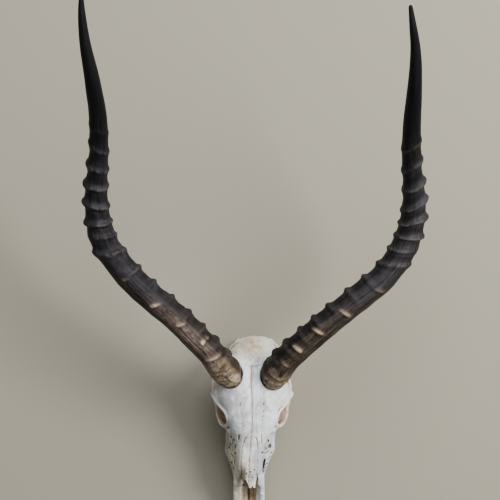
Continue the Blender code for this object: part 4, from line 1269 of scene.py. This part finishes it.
def spongy_mask(s, lit):
    """Where the bone is porous: the nose's flanks, less on the right one as painted highlight,
    and the crown but for its right edge, kept clear as painted highlight.
    """
    flanks = (ramp(s.y, -78, -90) * ramp(s.y, -146, -132)
              * ramp(np.abs(s.mid), 15.5, 19) * ramp(s.z, 16, 26))
    crown = 0.35 * ramp(s.y, 26, 38) * ramp(s.x, 18, 10)
    return np.clip(flanks * (1 - 0.45 * lit) + crown, 0, 1)


def shade_and_grey_mask(s):
    """Painted shade on the left nasal bone's tip and on the nose's left flank, which face away
    from the light, and grey blots, partly painted shade on the left.
    """
    shade_and_grey = (ramp(s.mid, -2, -5) * ramp(s.mid, -12.6, -10.6) * ramp(s.y, -115, -127)
            * (s.y > -152) * (s.z > 62))
    band = ramp(s.mid, -9.8, -11.6) * ramp(s.y, -68, -80) * (s.z > 20)
    band = band * (0.75 + 0.5 * bell(s.mid + 12.5, 3))
    grey = blots(GREY_BLOTS, s.x + 2.5 * s.rough, s.y + 4 * s.small)
    return np.clip(np.maximum(0.95 * shade_and_grey, 0.37 * band)
                   + grey * (s.z > 70) * (s.normal[:, 2] > 0.3), 0, 1)


def seam_distances(s):
    """Each suture's distance from the points, FAR where that suture isn't near."""
    top, wide = s.normal[:, 2] > 0.25, np.abs(s.mid)
    side = np.interp(s.y, [-138, -120, -100], [20.5, 19.6, 18.6])
    return {
        "seam_middle": np.where(top & (s.y < 15) & (s.z > 55),
                                s.mid * np.where(s.y < -84, 2.2, 1.5), FAR),
        "seam_crown": np.where(top & (np.abs(s.x) < 30) & (s.z > 85),
                               s.y - 11.5 - 0.32 * np.abs(s.x - 1.5), FAR),
        "seam_nasal": np.where((s.y < -76) & (s.z > 60) & (s.normal[:, 2] > 0.1),
                               (wide - s.nasal_edge) * 1.5, FAR),
        "seam_side": np.where((s.y < -98) & (s.z > 45), wide - side, FAR),
        "seam_brow": np.where((s.y < -60) & (s.y > -100) & (np.abs(s.x) > 20),
                              s.z - (78 + (s.y + 60) * 0.42), FAR),
    }


def dress_skull(mesh):
    """Low relief, and what the material reads at each point of the bone."""
    co = vectors_of(mesh, "co") / MM
    lean_at = np.linspace(-225, 65, 291)
    s = SimpleNamespace(x=co[:, 0], y=co[:, 1], z=co[:, 2], normal=vectors_of(mesh, "normal"))
    s.mid = s.x - np.interp(s.y, lean_at, [lean(y) for y in lean_at])
    s.rough = np.array([noise.noise(Vector(p) * 0.09) for p in co])
    s.small = np.array([noise.noise(Vector(p) * 0.33) for p in co])
    s.nasal_edge = np.interp(s.y, [-150, -120, -96, -84, -76], [11.2, 11.2, 10.6, 8, 3])
    depth, holes = skin_pits(s)
    moved = co + s.normal * (skin_relief(s) - depth)[:, None]
    moved[:, 2] = np.maximum(moved[:, 2], SURFACE)
    mesh.vertices.foreach_set("co", (moved * MM).astype(np.float32).ravel())
    mesh.update()
    s.normal = vectors_of(mesh, "normal")
    lit = ramp(s.mid, 9, 12) * ramp(s.y, -60, -74)  # painted highlight: the nose's right side, which the light falls on, stays pale
    masks = {
        "hollow": hollow_shade_mask(s),
        "stain": 1.1 * bell(s.x - 3 + 4 * s.rough, 16) * bell(s.y - 42 + 3 * s.small, 13)
        * (s.z > 60),
        "shade_and_grey": shade_and_grey_mask(s),
        # painted shade in the dents, creases and small holes
        "dent": np.clip(skin_bend(mesh, moved, s.normal) * 14 + 1.4 * holes, -1, 1.4),
        "cream": cream_mask(s, lit),
        # painted shade above 0 and painted highlight below 0
        "smoke": blots(PAINTED_LIGHT_BLOTS, s.x, s.y),
        "spongy": spongy_mask(s, lit),
        **seam_distances(s),
    }
    for name, values in masks.items():
        set_attribute(mesh, name, values)


# ---- teeth

TOOTH_SIDES = 72
TOOTH_WALL = ((ROOT_TOP, 0.86), (15.0, 0.90), (9.0, 0.955), (5.0, 0.985), (3.0, 1.0),
              (1.4, 0.985), (0.4, 0.965), (0.0, 0.95))  # height, share of the full width
# The worn face, inwards: share of the width, depth, dentine
TOOTH_FACE = ((0.86, 0.0, 0.1), (0.78, 0.5, 0.9), (0.62, 0.7, 1.0), (0.50, 0.25, 0.2),
              (0.40, 0.15, 0.1), (0.30, 1.2, 0.9), (0.14, 2.0, 1.0))


def tooth_outline(length, width, lobes):
    """A cheek tooth from below: ribs on its outer side, rounded lobes on the inner."""
    ring = []
    for k, (c, s) in enumerate(superellipse(4, TOOTH_SIDES)):
        px, py = width / 2 * c, length / 2 * s
        wave = math.cos(lobes * 2 * math.pi * py / length)
        sign, dip = (1, 0.045) if px > 0 else (-1, 0.07)
        px -= sign * dip * width * (1 + sign * wave) \
            * abs(math.cos(2 * math.pi * k / TOOTH_SIDES))
        ring.append((px, py))
    return ring


def tooth_rows(length, width):
    """Rings of x, y, z and dentine, up the tooth's wall and over its worn face."""
    lobes = 2 if length > 12 else 1
    outline = tooth_outline(length, width, lobes)
    rows = [[(px * share, py * share, z, 0.0) for px, py in outline]
            for z, share in TOOTH_WALL]
    for share, z, dentine in TOOTH_FACE:
        bend = 0.10 * width * (1 - share)
        rows.append([
            (px * share * 0.95 + bend * math.cos(lobes * 2 * math.pi * py / length),
             py * share * 0.95, z, dentine)
            for px, py in outline
        ])
    return rows


def tooth_object(name, side, x, y, length, width, turn, look):
    rows = tooth_rows(length, width)
    spin = Matrix.Rotation(math.radians(turn), 3, "Z")
    bm = bmesh.new()
    rings = []
    for row in rows:
        ring = [spin @ Vector(point[:3]) + Vector((x, y, 0)) for point in row]
        rings.append([(p.x * side + lean(y), p.y, p.z) for p in ring])
    add_loft(bm, rings)
    obj = object_of(name, bm)
    mesh = obj.data
    set_attribute(mesh, "dentine", [point[3] for row in rows for point in row])
    mesh.shade_smooth()
    mesh.set_sharp_from_angle(angle=math.radians(50))
    mesh.materials.append(look)
    return obj


# ---- put together

add_camera()
add_lamp("window", **WINDOW)
add_lamp("sky", **SKY)
add_room_light()

# flat_at is where a horn's ridges are nearly flat on its outside
LEFT = SimpleNamespace(points=LEFT_HORN, ridges=LEFT_RIDGES, spots=LEFT_SPOTS,
                       inner_sign=1, flat_at=264, seed=3)
RIGHT = SimpleNamespace(points=RIGHT_HORN, ridges=RIGHT_RIDGES, spots=RIGHT_SPOTS,
                        inner_sign=-1, flat_at=256, seed=8)

for name, shape, look in (
        ("left_horn", LEFT, horn_material("keratin_left", LEFT_KERATIN)),
        ("right_horn", RIGHT, horn_material("keratin_right", RIGHT_KERATIN))):
    horn = horn_object(name + "_keratin", shape, look)
    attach(horn, "root")
    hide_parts(name)

skull = skull_object("skull_bone", bone_material())
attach(skull, "root")
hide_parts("skull")

enamel = enamel_material()
for label, x, y, length, width, turn in TEETH:
    for side, word in ((-1, "left"), (1, "right")):
        tooth = tooth_object(f"{word}_{label}_enamel", side, x, y, length - GAP, width,
                             turn, enamel)
        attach(tooth, "root")
        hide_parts(f"{word}_{label}")

floor_mesh = bpy.data.meshes.new("floor")
floor_mesh.from_pydata([(-6, -6, -0.0005), (6, -6, -0.0005), (6, 6, -0.0005),
                        (-6, 6, -0.0005)], [], [(0, 1, 2, 3)])
floor = bpy.data.objects.new("floor", floor_mesh)
floor_mesh.materials.append(floor_material())
SCENE.objects.link(floor)
